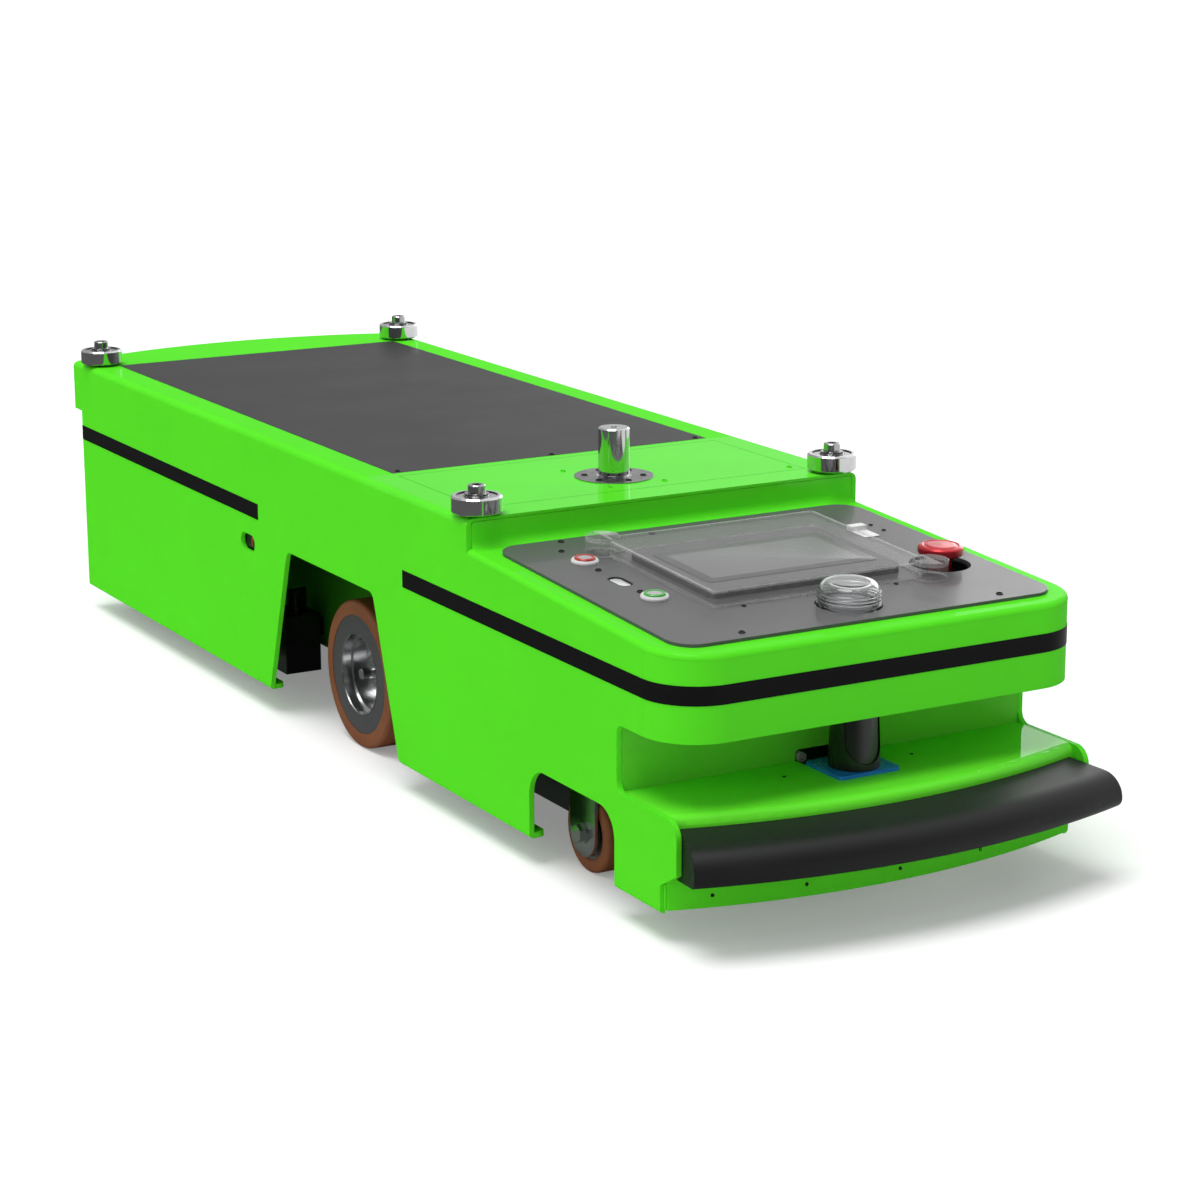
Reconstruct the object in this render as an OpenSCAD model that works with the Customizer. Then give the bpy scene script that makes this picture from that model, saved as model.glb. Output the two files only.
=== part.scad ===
// Low towing automated guided vehicle that drives under a trolley and takes it with a lifting pin.
// Millimetres, +Z up, front towards -Y, floor at Z = 0.

/* [Body] */
// Width over the two side sheets
body_w = 420; // [390:1:450]
// Height of the deck above the floor
deck_z = 292.5; // [282:0.5:305]
// Height of the bottom edge of the side sheets
skirt_z = 26.5; // [22:0.5:32]
// Thickness of the side sheets
side_t = 5; // [4:0.5:6]
// Thickness of the other body sheets
sheet_t = 3; // [2:0.5:4]
// Outer bend radius between deck and sides
bend_r = 7; // [6.5:0.5:10]
// Outer bend radius along the bottom edges
foot_r = 4; // [3:0.5:5]
// Width of the folded flange along the bottom edges
flange_w = 17; // [12:0.5:20]
// Length of the deck from the step to the ends of the side sheets
deck_l = 981; // [950:1:1010]
// How far the hood's sides stand out behind the side sheets
hood_over = 21.5; // [16:0.5:30]
// Rise of the hood's rear arc
hood_sag = 44; // [30:1:60]
// Height of the hood's rear lip
hood_lip_h = 56; // [40:1:80]

/* [Wheel cut-outs] */
// Length of the drive wheel cut-out at the bottom edge
bay_l = 303; // [290:1:320]
// Length of the drive wheel cut-out at its top
bay_top_l = 200; // [190:1:215]
// Top of the drive wheel cut-out
bay_top = 183.5; // [178:0.5:190]
// Corner radius of the drive wheel cut-out
bay_r = 10; // [8:0.5:14]
// Length of the castor arch
arch_l = 149; // [145:0.5:154]
// Top of the castor arch
arch_top = 93.5; // [92:0.5:98]
// Corner radius of the castor arch
arch_r = 26; // [20:0.5:30]

/* [Nose] */
// Place of the step between deck and nose
step_y = -306.5; // [-315:0.5:-300]
// Height of the step
step_h = 27.3; // [20:0.1:34]
// Slope of the nose top
nose_tilt = 3.16; // [2:0.02:4]
// Length of the nose in front of the step
nose_l = 359; // [350:0.5:370]
// Height of the nose's lower edge
nose_low_z = 170.5; // [166:0.5:176]
// Plan radius of the nose's front corners
nose_r = 50; // [30:1:70]
// Edge radius of the nose top
edge_r = 5; // [4:0.5:8]
// Depth of the scanner recess under the nose
recess_d = 91.5; // [85:0.5:100]

/* [Front shelf and bumper] */
// Top of the front shelf
shelf_z = 111.2; // [108:0.2:116]
// Reach of the shelf in front of the recess wall
shelf_d = 111.75; // [106:0.25:118]
// Plan radius of the shelf's front lip
front_r = 670; // [600:1:760]
// Height of the shelf's turned-down lip
lip_h = 19; // [14:0.5:24]
// Bend radius of the shelf's lip
lip_r = 8; // [5:0.5:10]
// Step from the lip back to the lower skirt
skirt_set = 5; // [4:0.5:8]
// Height of the lower edge of the front skirt
front_low_z = 29.5; // [26:0.5:34]
// Reach of the side cheeks in front of the recess wall
cheek_d = 96; // [90:0.5:102]
// Depth of the bumper
bumper_d = 56; // [46:0.5:64]
// Height of the bumper at its back
bumper_h = 44; // [38:0.5:46]
// Underside of the bumper at its back
bumper_z = 57; // [52:0.5:62]
// Lower nose radius of the bumper
bumper_r = 9; // [8:0.5:13]
// Upper nose radius of the bumper
bumper_top_r = 22; // [16:0.5:24]

/* [Deck pieces] */
// Width of the deck rim beside the cover plates
deck_rim = 34; // [30:0.5:40]
// Depth of the deck rim in front of the pin plate
rim_front = 38.5; // [36:0.5:46]
// Length of the plate round the tow pin
pin_plate_l = 165; // [150:1:175]
// Length of the deck strip between the two plates
strip_l = 14.5; // [13:0.5:20]
// Depth of the deck rim behind the rear cover
rim_rear = 39.5; // [38:0.5:50]
// Gap round the loose deck plates
plate_gap = 0.8; // [0.5:0.1:1.5]
// Width of the ledge that carries them
ledge_w = 12; // [8:0.5:16]

/* [Tow pin] */
// Distance of the tow pin behind the step
pin_back = 100; // [94:0.5:112]
// Diameter of the tow pin
pin_d = 30; // [25:0.5:35]
// Height of the raised pin above the deck
pin_up = 47.5; // [40:0.5:50]
// Length of the pin below the deck
pin_down = 118; // [110:1:140]
// Diameter of the pin's flange
pin_flange_d = 76; // [70:0.5:84]
// Thickness of the pin's flange
pin_flange_t = 1; // [0.5:0.5:4]
// Running gap round the pin
pin_gap = 0.05; // [0.02:0.01:0.1]

/* [Guide rollers] */
// Outer diameter of a roller
roller_d = 47; // [42:0.5:50]
// Height of a roller
roller_h = 16; // [12:0.5:20]
// Distance of the rollers from the sides
roller_in = 18.5; // [18:0.5:26]
// Distance of the front rollers behind the step
roller_back = 14.5; // [13:0.5:24]
// Distance of the rear rollers from the ends of the side sheets
roller_end = 23.5; // [18:0.5:28]
// Shaft diameter of a roller bolt
roller_bore = 12; // [10:0.5:14]

/* [Wheels] */
// Diameter of a drive wheel
drive_d = 150; // [144:1:154]
// Width of a drive wheel
drive_w = 48; // [44:1:52]
// Thickness of the drive wheel's tyre
tyre_t = 15; // [12:0.5:18]
// Distance of the drive wheels from the sides
drive_in = 29; // [26:0.5:33]
// Place of the drive axle
drive_y = -10.5; // [-16:0.5:-4]
// Diameter of the drive wheel's steel dish
dish_d = 82; // [76:0.5:90]
// Diameter of a castor wheel
castor_d = 75; // [70:1:76]
// Width of a castor wheel
castor_w = 30; // [26:1:32]
// Trail of a castor wheel behind its swivel
castor_trail = 38; // [34:0.5:40]
// Overall height of a castor
castor_h = 104; // [103:0.5:106]
// Distance of the front castors from the sides
castor_in = 53; // [51:0.5:56]
// Distance of the front castor swivels behind the recess wall
castor_back = 79; // [76:0.5:82]
// Half distance across the rear castors
castor_x1 = 100; // [94:0.5:102]
// Distance of the rear castor swivels from the ends of the side sheets
castor_end = 144.5; // [130:0.5:170]

/* [Controls] */
// Distance of the control plate from the nose's sides
panel_in = 19; // [15:0.5:28]
// Distance of the control plate from the step
panel_back = 14.7; // [12:0.1:20]
// Distance of the control plate from the nose's front
panel_front = 21; // [18:0.5:30]
// Corner radius of the control plate
panel_r = 24; // [18:0.5:30]
// Thickness of the control plate
panel_t = 3; // [2:0.5:4]
// Diameter of the stop button's head
stop_d = 41; // [36:0.5:44]
// Diameter of the signal lamp
lamp_d = 56; // [46:0.5:58]
// Diameter of a push button's bezel
button_d = 25; // [22:0.5:28]
// Width of the touch screen's glass
glass_w = 157; // [140:1:165]
// Depth of the touch screen's glass
glass_l = 79; // [70:1:90]

/* [Scanner] */
// Width of the scanner's base
scan_base = 62.5; // [58:0.5:66]
// Depth of the scanner's base
scan_base_l = 55; // [50:0.5:60]
// Diameter of the scanner's head
scan_d = 41; // [36:0.5:44]
// Height of the scanner's head
scan_h = 54; // [48:0.5:56]
// Distance of the scanner's base middle in front of the recess wall
scan_fwd = 39; // [32:0.5:42]

/* [Hidden] */
$fn = 96;

eps = 0.01;
fit = 0.3;
half_w = body_w / 2;
inner_x = half_w - side_t;
under_z = deck_z - sheet_t;
nose_z = deck_z - step_h;
lip_z = deck_z - hood_lip_h;
side_rear_y = step_y + deck_l;
hood_side_y = side_rear_y + hood_over;
hood_rear_y = hood_side_y + hood_sag;
hood_r = (half_w * half_w + hood_sag * hood_sag) / (2 * hood_sag);
hood_mid_y = hood_rear_y - hood_r;
hood_edge_r = bend_r - 1;
lip_end_y = hood_side_y - 4;
nose_front_y = step_y - nose_l;
tongue_y = nose_front_y + nose_r;
recess_y = nose_front_y + recess_d;
side_front_y = recess_y - cheek_d;
arc_y = recess_y - shelf_d + front_r;
arc_a = asin(half_w / front_r) + 2;
bumper_in = 10.2;
bumper_a = asin((half_w - bumper_in) / front_r);

// inner bends: cheek top, recess foot, recess top, flange corners
cheek_r = 16;
foot_bend = 11;
recess_bend = 8;
flange_r = 7;
// chin of a side sheet: length, height at the front, height behind
chin_l = 25.5;
chin_z = 66;
chin_low_z = 51.5;

// wheel cut-outs and sensor hole of a side sheet, ends along Y
bay_mid = drive_y + 2;
bay_low = [bay_mid - bay_l / 2, bay_mid + bay_l / 2];
bay_high = [bay_mid - bay_top_l / 2, bay_mid + bay_top_l / 2];
castor_y0 = recess_y + castor_back;
castor_y1 = side_rear_y - castor_end;
arch = [castor_y0 - arch_l / 2 - 0.5, castor_y0 + arch_l / 2 - 0.5];
eye_y = bay_low[1] + 48;
eye_z = bay_top - 9.5;
eye_l = 36;
eye_h = 18;

cover_x = half_w - deck_rim;
pin_y = step_y + pin_back;
pin_plate_y0 = step_y + rim_front;
pin_plate_y1 = pin_plate_y0 + pin_plate_l;
cover_y0 = pin_plate_y1 + strip_l;
cover_y1 = side_rear_y - rim_rear;
ledge_in = 6;

// stem of the tow pin in its guide tube, relief neck under the free end
stem_d = pin_d + 4;
neck_d = pin_d - 2;
neck_h = 1.5;
tube_d = stem_d + 12;
tube_l = 60;
pin_low = deck_z - pin_down;
pin_seat = deck_z + pin_flange_t;
pin_edge = 1.2;

panel_x = half_w - panel_in;
panel_y0 = -nose_l + panel_front;
panel_y1 = -panel_back;
// share of the panel's usual half width, so that the controls spread with it
panel_share = panel_x / 191;
stop_at = [146 * panel_share, panel_y0 + 112.5];
lamp_at = [1, panel_y0 + 43];
red_at = [-138.6 * panel_share, panel_y1 - 74];
green_at = [-138.6 * panel_share, panel_y0 + 129];
slot_at = [-141 * panel_share, panel_y0 + 183];
slot_w = 13;
slot_l = 28;
slot_edge = 1.2;
rocker_at = [141.8 * panel_share, panel_y1 - 97.3];
screen_y = (panel_y0 + panel_y1) / 2 + 11;
well_d = stop_d + 14;
lamp_well_d = lamp_d + 2;

scan_y = recess_y - scan_fwd;
scan_t = 3;
scan_r = 4.5;
// cable opening behind the scanner: half width, height, corner radius, depth in the shelf
notch_x = scan_base / 2 + 1.7;
notch_h = 10;
notch_r = 3.5;
notch_d = scan_fwd - scan_base_l / 2 + 6;

base_t = 6;
base_z = castor_h;
wall_x = half_w - 98;
wall_y = [bay_low[0] - 70, bay_low[1] + 187];
rail_x = [wall_x + 13, wall_x + 38];
rail_y = [castor_y0 + 90, wall_y[0] - 25];
rail_low = skirt_z + 5.5;
drive_x = half_w - drive_in;
axle_z = drive_d / 2;
axle_d = 20;
rear_base_y = wall_y[1] + 63;

castor_x0 = half_w - castor_in;
// swivel table: name, x, y
SWIVEL = [
    ["fl", castor_x0, castor_y0],
    ["fr", -castor_x0, castor_y0],
    ["rl", castor_x1, castor_y1],
    ["rr", -castor_x1, castor_y1]
];
roller_x = half_w - roller_in;
roller_y0 = step_y + roller_back;
roller_y1 = side_rear_y - roller_end;
// guide roller table: name, x, y
ROLLER = [
    ["fl", roller_x, roller_y0],
    ["fr", -roller_x, roller_y0],
    ["rl", roller_x, roller_y1],
    ["rr", -roller_x, roller_y1]
];
roller_z0 = deck_z + 2;
stud_d = roller_bore - 2;

function nose_at(y) = nose_z + (y - step_y) * tan(nose_tilt);
function side_top(y) = nose_at(y) - edge_r / cos(nose_tilt) - 0.05;

module round_rect(x0, x1, y0, y1, r) {
    translate([x0 + r, y0]) square([x1 - x0 - 2 * r, y1 - y0]);
    translate([x0, y0 + r]) square([x1 - x0, y1 - y0 - 2 * r]);
    for (x = [x0 + r, x1 - r], y = [y0 + r, y1 - r]) translate([x, y]) circle(r);
}

module quarter(r) {
    intersection() {
        circle(r);
        square(r);
    }
}

// what a rounded outer corner loses, corner at the origin, towards +X and +Y inside
module corner_loss(r) {
    difference() {
        translate([-1, -1]) square(r + 1);
        translate([r, r]) circle(r);
    }
}

// what a rounded inner corner gains, corner at the origin, towards +X and +Y outside
module corner_gain(r) {
    difference() {
        translate([-eps, -eps]) square(r + eps);
        translate([r, r]) circle(r);
    }
}

// places children in the sloped plane of the nose top, local Y along the slope
module on_nose() {
    translate([0, step_y, nose_z]) rotate([nose_tilt, 0, 0]) children();
}

// extrudes a Y-Z outline along X between two faces
module along_x(x0, x1) {
    translate([x0, 0, 0]) rotate([90, 0, 90]) linear_extrude(x1 - x0) children();
}

// extrudes an X-Z outline along Y between two faces
module along_y(y0, y1) {
    translate([0, y1, 0]) rotate([90, 0, 0]) linear_extrude(y1 - y0) children();
}

// a sector of a revolved outline, centred on the front direction
module front_arc(a) {
    translate([0, arc_y, 0]) rotate([0, 0, -90 - a]) rotate_extrude(angle = 2 * a, $fn = 360) children();
}

module both_sides() {
    children();
    mirror([1, 0, 0]) children();
}

// body

module hat_section(x, low, z, r) {
    translate([-x, low]) square([2 * x, z - r - low]);
    translate([-x + r, low]) square([2 * x - 2 * r, z - low]);
    for (s = [-1, 1]) translate([s * (x - r), z - r]) circle(r);
}

// upright disc of the hood's rear arc with a rounded top edge
module hood_disc(r, z, e) {
    translate([0, hood_mid_y, 0]) rotate_extrude($fn = 360) {
        square([r, z - e]);
        square([r - e, z]);
        translate([r - e, z - e]) circle(e);
    }
}

// deck and sides as a block, closed behind by the hood's arc
module shell_block(y0, x, low, z, r, arc_r, e) {
    along_y(y0, hood_mid_y) hat_section(x, low, z, r);
    intersection() {
        along_y(hood_mid_y - eps, hood_rear_y) hat_section(x, low, z, r);
        hood_disc(arc_r, z, e);
    }
}

module shell_walls() {
    difference() {
        shell_block(step_y, half_w, skirt_z, deck_z, bend_r, hood_r, hood_edge_r);
        shell_block(step_y - 1, inner_x, skirt_z - 1, under_z, bend_r - side_t, hood_r - side_t, 1);
    }
}

// space of the curved rear lip, with a gap round it
module lip_space(gap) {
    translate([-half_w - 1, lip_end_y - gap, lip_z])
        cube([body_w + 2, hood_rear_y - lip_end_y + 9, hood_lip_h - hood_edge_r + gap]);
}

module side_outline_front() {
    difference() {
        polygon([
            [step_y, skirt_z], [step_y, side_top(step_y)], [tongue_y, side_top(tongue_y)],
            [tongue_y, nose_low_z], [recess_y, nose_low_z], [recess_y, shelf_z], [side_front_y, shelf_z],
            [side_front_y, chin_z], [side_front_y + chin_l, chin_low_z], [side_front_y + chin_l, skirt_z]
        ]);
        translate([side_front_y, shelf_z]) mirror([0, 1]) corner_loss(cheek_r);
    }
    translate([recess_y, shelf_z]) mirror([1, 0]) corner_gain(foot_bend);
    translate([recess_y, nose_low_z]) rotate(180) corner_gain(recess_bend);
}

module wheel_bay() {
    lean = (bay_l - bay_top_l) / 2 / (bay_top - skirt_z);
    polygon([
        [bay_low[0], skirt_z], [bay_low[0], skirt_z - 1], [bay_low[1], skirt_z - 1], [bay_low[1], skirt_z],
        [bay_high[1] + lean * bay_r, bay_top - bay_r], [bay_high[1] - bay_r * 0.8, bay_top],
        [bay_high[0] + bay_r * 0.8, bay_top], [bay_high[0] - lean * bay_r, bay_top - bay_r]
    ]);
    for (y = [bay_high[0] + bay_r * 0.77, bay_high[1] - bay_r * 0.77])
        translate([y, bay_top - bay_r * 1.04]) circle(bay_r * 1.04);
}

module castor_arch() {
    translate([arch[0], skirt_z - 1]) square([arch_l, arch_top - arch_r - skirt_z + 1]);
    translate([arch[0] + arch_r, skirt_z]) square([arch_l - 2 * arch_r, arch_top - skirt_z]);
    for (y = [arch[0] + arch_r, arch[1] - arch_r]) translate([y, arch_top - arch_r]) circle(arch_r);
}

module sensor_eye() {
    translate([eye_y, eye_z]) round_rect(-eye_l / 2, eye_l / 2, -eye_h / 2, eye_h / 2, eye_h / 2 - eps);
}

module body_shell() {
    color("limegreen") {
        difference() {
            shell_walls();
            for (r = ROLLER)
                translate([r[1], r[2], under_z - 1]) cylinder(d = stud_d + 0.2, h = sheet_t + 2);
            translate([-half_w - 1, side_rear_y, 0])
                cube([body_w + 2, hood_over + hood_sag + 1, lip_z + eps]);
            lip_space(fit);
            along_x(-half_w - 1, half_w + 1) wheel_bay();
            along_x(-half_w - 1, half_w + 1) sensor_eye();
            deck_opening(cover_y0, cover_y1);
            deck_opening(pin_plate_y0, pin_plate_y1);
            both_sides() foot_bend_loss(step_y - 1, side_rear_y + 1);
        }
        deck_ledge(cover_y0, cover_y1);
        deck_ledge(pin_plate_y0, pin_plate_y1);
        both_sides() {
            bottom_flange(step_y, bay_low[0], 0, flange_r);
            bottom_flange(bay_low[1], side_rear_y - sheet_t - fit, flange_r, flange_r);
        }
    }
}

// side sheet beside the nose, with the castor arch and the cheek of the front shelf
module nose_side(s) {
    color("limegreen") mirror([s < 0 ? 1 : 0, 0, 0]) {
        difference() {
            along_x(inner_x, half_w) side_outline_front();
            along_x(inner_x - 1, half_w + 1) castor_arch();
            foot_bend_loss(side_front_y, step_y + 1);
        }
        bottom_flange(side_front_y + chin_l + 8, arch[0], flange_r, flange_r);
        bottom_flange(arch[1], step_y, flange_r, 0);
    }
}

module foot_bend_loss(y0, y1) {
    along_y(y0, y1) translate([half_w, skirt_z]) mirror([1, 0]) corner_loss(foot_r);
}

module deck_opening(y0, y1) {
    x = cover_x + plate_gap;
    translate([-x, y0 - plate_gap, under_z - 1]) cube([2 * x, y1 - y0 + 2 * plate_gap, sheet_t + 2]);
}

module deck_ledge(y0, y1) {
    x = cover_x + ledge_in;
    hole_x = cover_x - ledge_w;
    difference() {
        translate([-x, y0 - ledge_in, under_z - sheet_t]) cube([2 * x, y1 - y0 + 2 * ledge_in, sheet_t]);
        translate([-hole_x, y0 + ledge_w, under_z - sheet_t - 1])
            cube([2 * hole_x, y1 - y0 - 2 * ledge_w, sheet_t + 2]);
    }
}

// folded flange along a bottom edge, with an end rounded where its radius is above zero
module bottom_flange(y0, y1, r0, r1) {
    w = flange_w - side_t;
    translate([inner_x - w, y0, skirt_z]) linear_extrude(side_t) difference() {
        square([w + eps, y1 - y0]);
        if (r0 > 0) corner_loss(r0);
        if (r1 > 0) translate([0, y1 - y0]) mirror([0, 1]) corner_loss(r1);
    }
}

module rear_lip() {
    color("limegreen") intersection() {
        shell_walls();
        lip_space(0);
    }
}

module rear_panel() {
    low = skirt_z + side_t;
    fold = 20;
    color("limegreen") {
        along_y(side_rear_y - sheet_t, side_rear_y)
            hat_section(inner_x - fit, skirt_z, under_z - fit, bend_r - side_t + 1);
        translate([-inner_x + fold, side_rear_y - fold, low - side_t])
            cube([2 * (inner_x - fold), fold - sheet_t + eps, sheet_t]);
    }
}

// nose

module nose_plan(x, y0, y1, r) {
    translate([-x, y0 + r]) square([2 * x, y1 - y0 - r]);
    translate([-x + r, y0]) square([2 * (x - r), r + eps]);
    for (s = [-1, 1]) translate([s * (x - r), y0 + r]) circle(r);
}

module below_nose_top(drop) {
    on_nose() translate([-body_w, -2 * nose_l, -deck_z - drop]) cube([2 * body_w, 2 * nose_l + 50, deck_z]);
}

// rounded upper rim of the nose in its sloped plane, standing on the level of the edge radius
module nose_rim(inset) {
    e = edge_r - inset;
    x = half_w - inset;
    r = nose_r - inset;
    back = -fit;
    front = (nose_front_y + inset - step_y - edge_r * sin(nose_tilt)) / cos(nose_tilt);
    linear_extrude(e) nose_plan(x - e, front + e, back, r - e);
    both_sides() translate([x - e, back, 0]) rotate([90, 0, 0]) linear_extrude(back - front - r) quarter(e);
    translate([x - r, front + e, 0]) rotate([90, 0, -90]) linear_extrude(2 * (x - r)) quarter(e);
    both_sides() translate([x - r, front + r, 0]) rotate([0, 0, -90])
        rotate_extrude(angle = 90) translate([r - e, 0]) quarter(e);
}

// walls a hair inside the rim above them
module nose_block(inset) {
    hair = 0.12;
    intersection() {
        translate([0, 0, nose_low_z - inset]) linear_extrude(deck_z)
            nose_plan(half_w - inset - hair, nose_front_y + inset + hair, step_y - fit, nose_r - inset);
        below_nose_top(edge_r);
    }
    on_nose() translate([0, 0, -edge_r]) nose_rim(inset);
}

// riser between nose and deck with the rounded foot
module nose_riser() {
    foot = 8;
    lift = 0.02;
    x = inner_x - fit;
    foot_z = nose_z + foot / cos(nose_tilt) - foot * tan(nose_tilt);
    toe = [step_y - foot + foot * sin(nose_tilt), foot_z - foot * cos(nose_tilt)];
    intersection() {
        along_y(step_y, step_y + sheet_t) hat_section(x, skirt_z, under_z - fit, bend_r - side_t + 1);
        translate([-half_w, step_y - 1, nose_z - sheet_t - 1]) cube([body_w, sheet_t + 2, deck_z]);
    }
    along_x(-x, x) difference() {
        polygon([
            [step_y + 1, foot_z], [step_y - foot, foot_z], toe, [toe[0], toe[1] - 1],
            [step_y + 1, nose_z - 1]
        ]);
        translate([step_y - foot - lift, foot_z + lift]) circle(foot);
    }
}

module nose_hood() {
    rim = 12;
    color("limegreen") {
        difference() {
            nose_block(0);
            nose_block(sheet_t);
            intersection() {
                translate([-half_w - 1, tongue_y, nose_low_z - 1])
                    cube([body_w + 2, step_y - tongue_y + 1, deck_z]);
                below_nose_top(edge_r);
            }
            on_nose() translate([0, 0, -20]) linear_extrude(40)
                round_rect(-panel_x + rim, panel_x - rim, panel_y0 + rim, panel_y1 - rim, panel_r - rim + 2);
        }
        nose_riser();
    }
}

// wall and roof of the scanner recess, with a cable opening at the wall's foot
module recess_panel() {
    inset = sheet_t + fit;
    x = inner_x - fit;
    color("limegreen") {
        difference() {
            translate([-x, recess_y, base_z]) cube([2 * x, sheet_t, nose_low_z - base_z + sheet_t]);
            along_y(recess_y - 1, recess_y + sheet_t + 1)
                round_rect(-notch_x, notch_x, shelf_z - notch_h / 2, shelf_z + notch_h, notch_r);
        }
        translate([0, 0, nose_low_z]) linear_extrude(sheet_t) {
            intersection() {
                nose_plan(half_w - inset, nose_front_y + inset, recess_y, nose_r - inset);
                translate([-half_w, nose_front_y]) square([body_w, nose_r - fit]);
            }
            translate([-x, tongue_y - 1]) square([2 * x, recess_y - tongue_y + 1 + eps]);
        }
    }
}

// front shelf with its turned-down lip
module shelf_outline() {
    back = shelf_d + front_r - front_r * cos(arc_a);
    difference() {
        translate([front_r - back, shelf_z - lip_h]) square([back, lip_h]);
        translate([front_r - back - 1, shelf_z - lip_h - 1])
            square([back + 1 - sheet_t, lip_h + 1 - sheet_t]);
        translate([front_r, shelf_z]) rotate(180) corner_loss(lip_r);
    }
}

module front_clip(y1) {
    translate([-inner_x, recess_y - 2 * shelf_d, 0])
        cube([2 * inner_x, 2 * shelf_d + y1 - recess_y, deck_z]);
}

module front_shelf() {
    color("limegreen") difference() {
        intersection() {
            front_arc(arc_a) shelf_outline();
            front_clip(recess_y);
        }
        translate([-scan_base / 2, recess_y - notch_d, shelf_z - lip_h])
            cube([scan_base, notch_d + 1, 2 * lip_h]);
    }
}

module front_skirt() {
    color("limegreen") intersection() {
        front_arc(arc_a) translate([front_r - skirt_set - sheet_t, front_low_z])
            square([sheet_t, shelf_z - lip_h - front_low_z]);
        front_clip(recess_y + sheet_t);
    }
}

// point where the line from p touches a circle, on its upper side for s = 1, on its lower side for s = -1
function touch(p, c, r, s) =
    let (l = norm(c - p), turn = atan2(c[1] - p[1], c[0] - p[0]) + s * asin(r / l) + s * 90)
    c + r * [cos(turn), sin(turn)];

// bumper section: flat back on the skirt, sloped top and underside, front rounded by two radii
module bumper_outline() {
    mid = bumper_h - 4 - bumper_top_r;
    low = [bumper_d - bumper_r, mid];
    high = [bumper_d - bumper_top_r, mid];
    back_low = [fit, 0];
    back_high = [fit, bumper_h];
    translate([front_r, bumper_z]) {
        polygon([
            back_low, touch(back_low, low, bumper_r, -1), low, high,
            touch(back_high, high, bumper_top_r, 1), back_high
        ]);
        translate(low) circle(bumper_r);
        intersection() {
            translate(high) circle(bumper_top_r);
            translate([fit, mid]) square([bumper_d, bumper_top_r + 1]);
        }
    }
    translate([front_r - skirt_set + 0.05, bumper_z])
        square([skirt_set + 1, shelf_z - lip_h - fit - bumper_z]);
}

module bumper() {
    color("dimgray") front_arc(bumper_a) bumper_outline();
}

// deck pieces

module deck_plate(y0, y1) {
    translate([-cover_x, y0, under_z]) cube([2 * cover_x, y1 - y0, sheet_t]);
}

module deck_cover() {
    color("dimgray") deck_plate(cover_y0, cover_y1);
}

module pin_plate() {
    color("limegreen") difference() {
        deck_plate(pin_plate_y0, pin_plate_y1);
        translate([0, pin_y, under_z - 1]) cylinder(d = tube_d + 0.6, h = sheet_t + 2);
    }
}

// flange on the deck with the guide tube that the pin runs in
module pin_guide() {
    color("silver") difference() {
        union() {
            translate([0, pin_y, deck_z]) cylinder(d = pin_flange_d, h = pin_flange_t);
            translate([0, pin_y, under_z - tube_l]) cylinder(d = tube_d, h = tube_l + sheet_t + eps);
        }
        translate([0, pin_y, under_z - tube_l - 1]) cylinder(d = stem_d + 2 * pin_gap, h = tube_l + 20);
    }
}

// free end above the flange, relief neck, guided stem below
module tow_pin() {
    top = deck_z + pin_up;
    free_z = pin_seat + neck_h;
    color("gainsboro") translate([0, pin_y, 0]) difference() {
        union() {
            translate([0, 0, pin_low]) cylinder(d = stem_d, h = pin_seat - pin_low);
            translate([0, 0, pin_seat - eps]) cylinder(d = neck_d, h = neck_h + 2 * eps);
            translate([0, 0, free_z]) cylinder(d = pin_d, h = top - pin_edge - free_z);
            translate([0, 0, top - pin_edge]) cylinder(d1 = pin_d, d2 = pin_d - 2 * pin_edge, h = pin_edge);
        }
        translate([0, 0, top - 14]) cylinder(d = 6.5, h = 20);
    }
}

// shoulder bolts of the guide rollers with socket heads
module roller_studs() {
    washer_d = 22;
    head_d = 16;
    head_h = 7.5;
    top = roller_z0 + roller_h + fit;
    color("silver") for (r = ROLLER) translate([r[1], r[2], 0]) difference() {
        union() {
            translate([0, 0, deck_z]) cylinder(d = washer_d, h = roller_z0 - deck_z - 0.1);
            translate([0, 0, under_z - 10]) cylinder(d = stud_d, h = 10 + sheet_t + eps);
            translate([0, 0, deck_z + 1]) cylinder(d = roller_bore, h = top - deck_z);
            translate([0, 0, top]) cylinder(d = washer_d, h = 1.5);
            translate([0, 0, top + 1]) cylinder(d = head_d, h = head_h);
            translate([0, 0, top + 1 + head_h]) cylinder(d1 = head_d, d2 = head_d - 1.6, h = 0.8);
        }
        translate([0, 0, top + head_h - 3]) cylinder(d = 9, h = 10, $fn = 6);
    }
}

module roller(r) {
    edge = 1.5;
    ring = roller_d / 2;
    race = ring - 4.5;
    hub = 11.5;
    dip = 1;
    color("gainsboro") translate([r[1], r[2], roller_z0 + 0.1]) rotate_extrude() polygon([
        [roller_bore / 2 + 0.05, 0], [hub, 0], [hub, dip], [race, dip], [race, 0], [ring - edge, 0],
        [ring, edge], [ring, roller_h - edge], [ring - edge, roller_h], [race, roller_h], [race, roller_h - dip],
        [hub, roller_h - dip], [hub, roller_h], [roller_bore / 2 + 0.05, roller_h]
    ]);
}

// controls on the nose

module control_plate() {
    color("gray") on_nose() difference() {
        linear_extrude(panel_t) round_rect(-panel_x, panel_x, panel_y0, panel_y1, panel_r);
        translate([stop_at[0], stop_at[1], -1]) cylinder(d = well_d, h = panel_t + 2);
        translate([lamp_at[0], lamp_at[1], -1]) cylinder(d = lamp_well_d, h = panel_t + 2);
        translate([0, 0, -1]) linear_extrude(panel_t + 2) slot_outline(slot_edge);
    }
}

// oblong of the white slot lamp, grown by an edge
module slot_outline(edge) {
    w = slot_w / 2 + edge;
    l = slot_l / 2 + edge;
    translate(slot_at) round_rect(-w, w, -l, l, w - eps);
}

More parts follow.
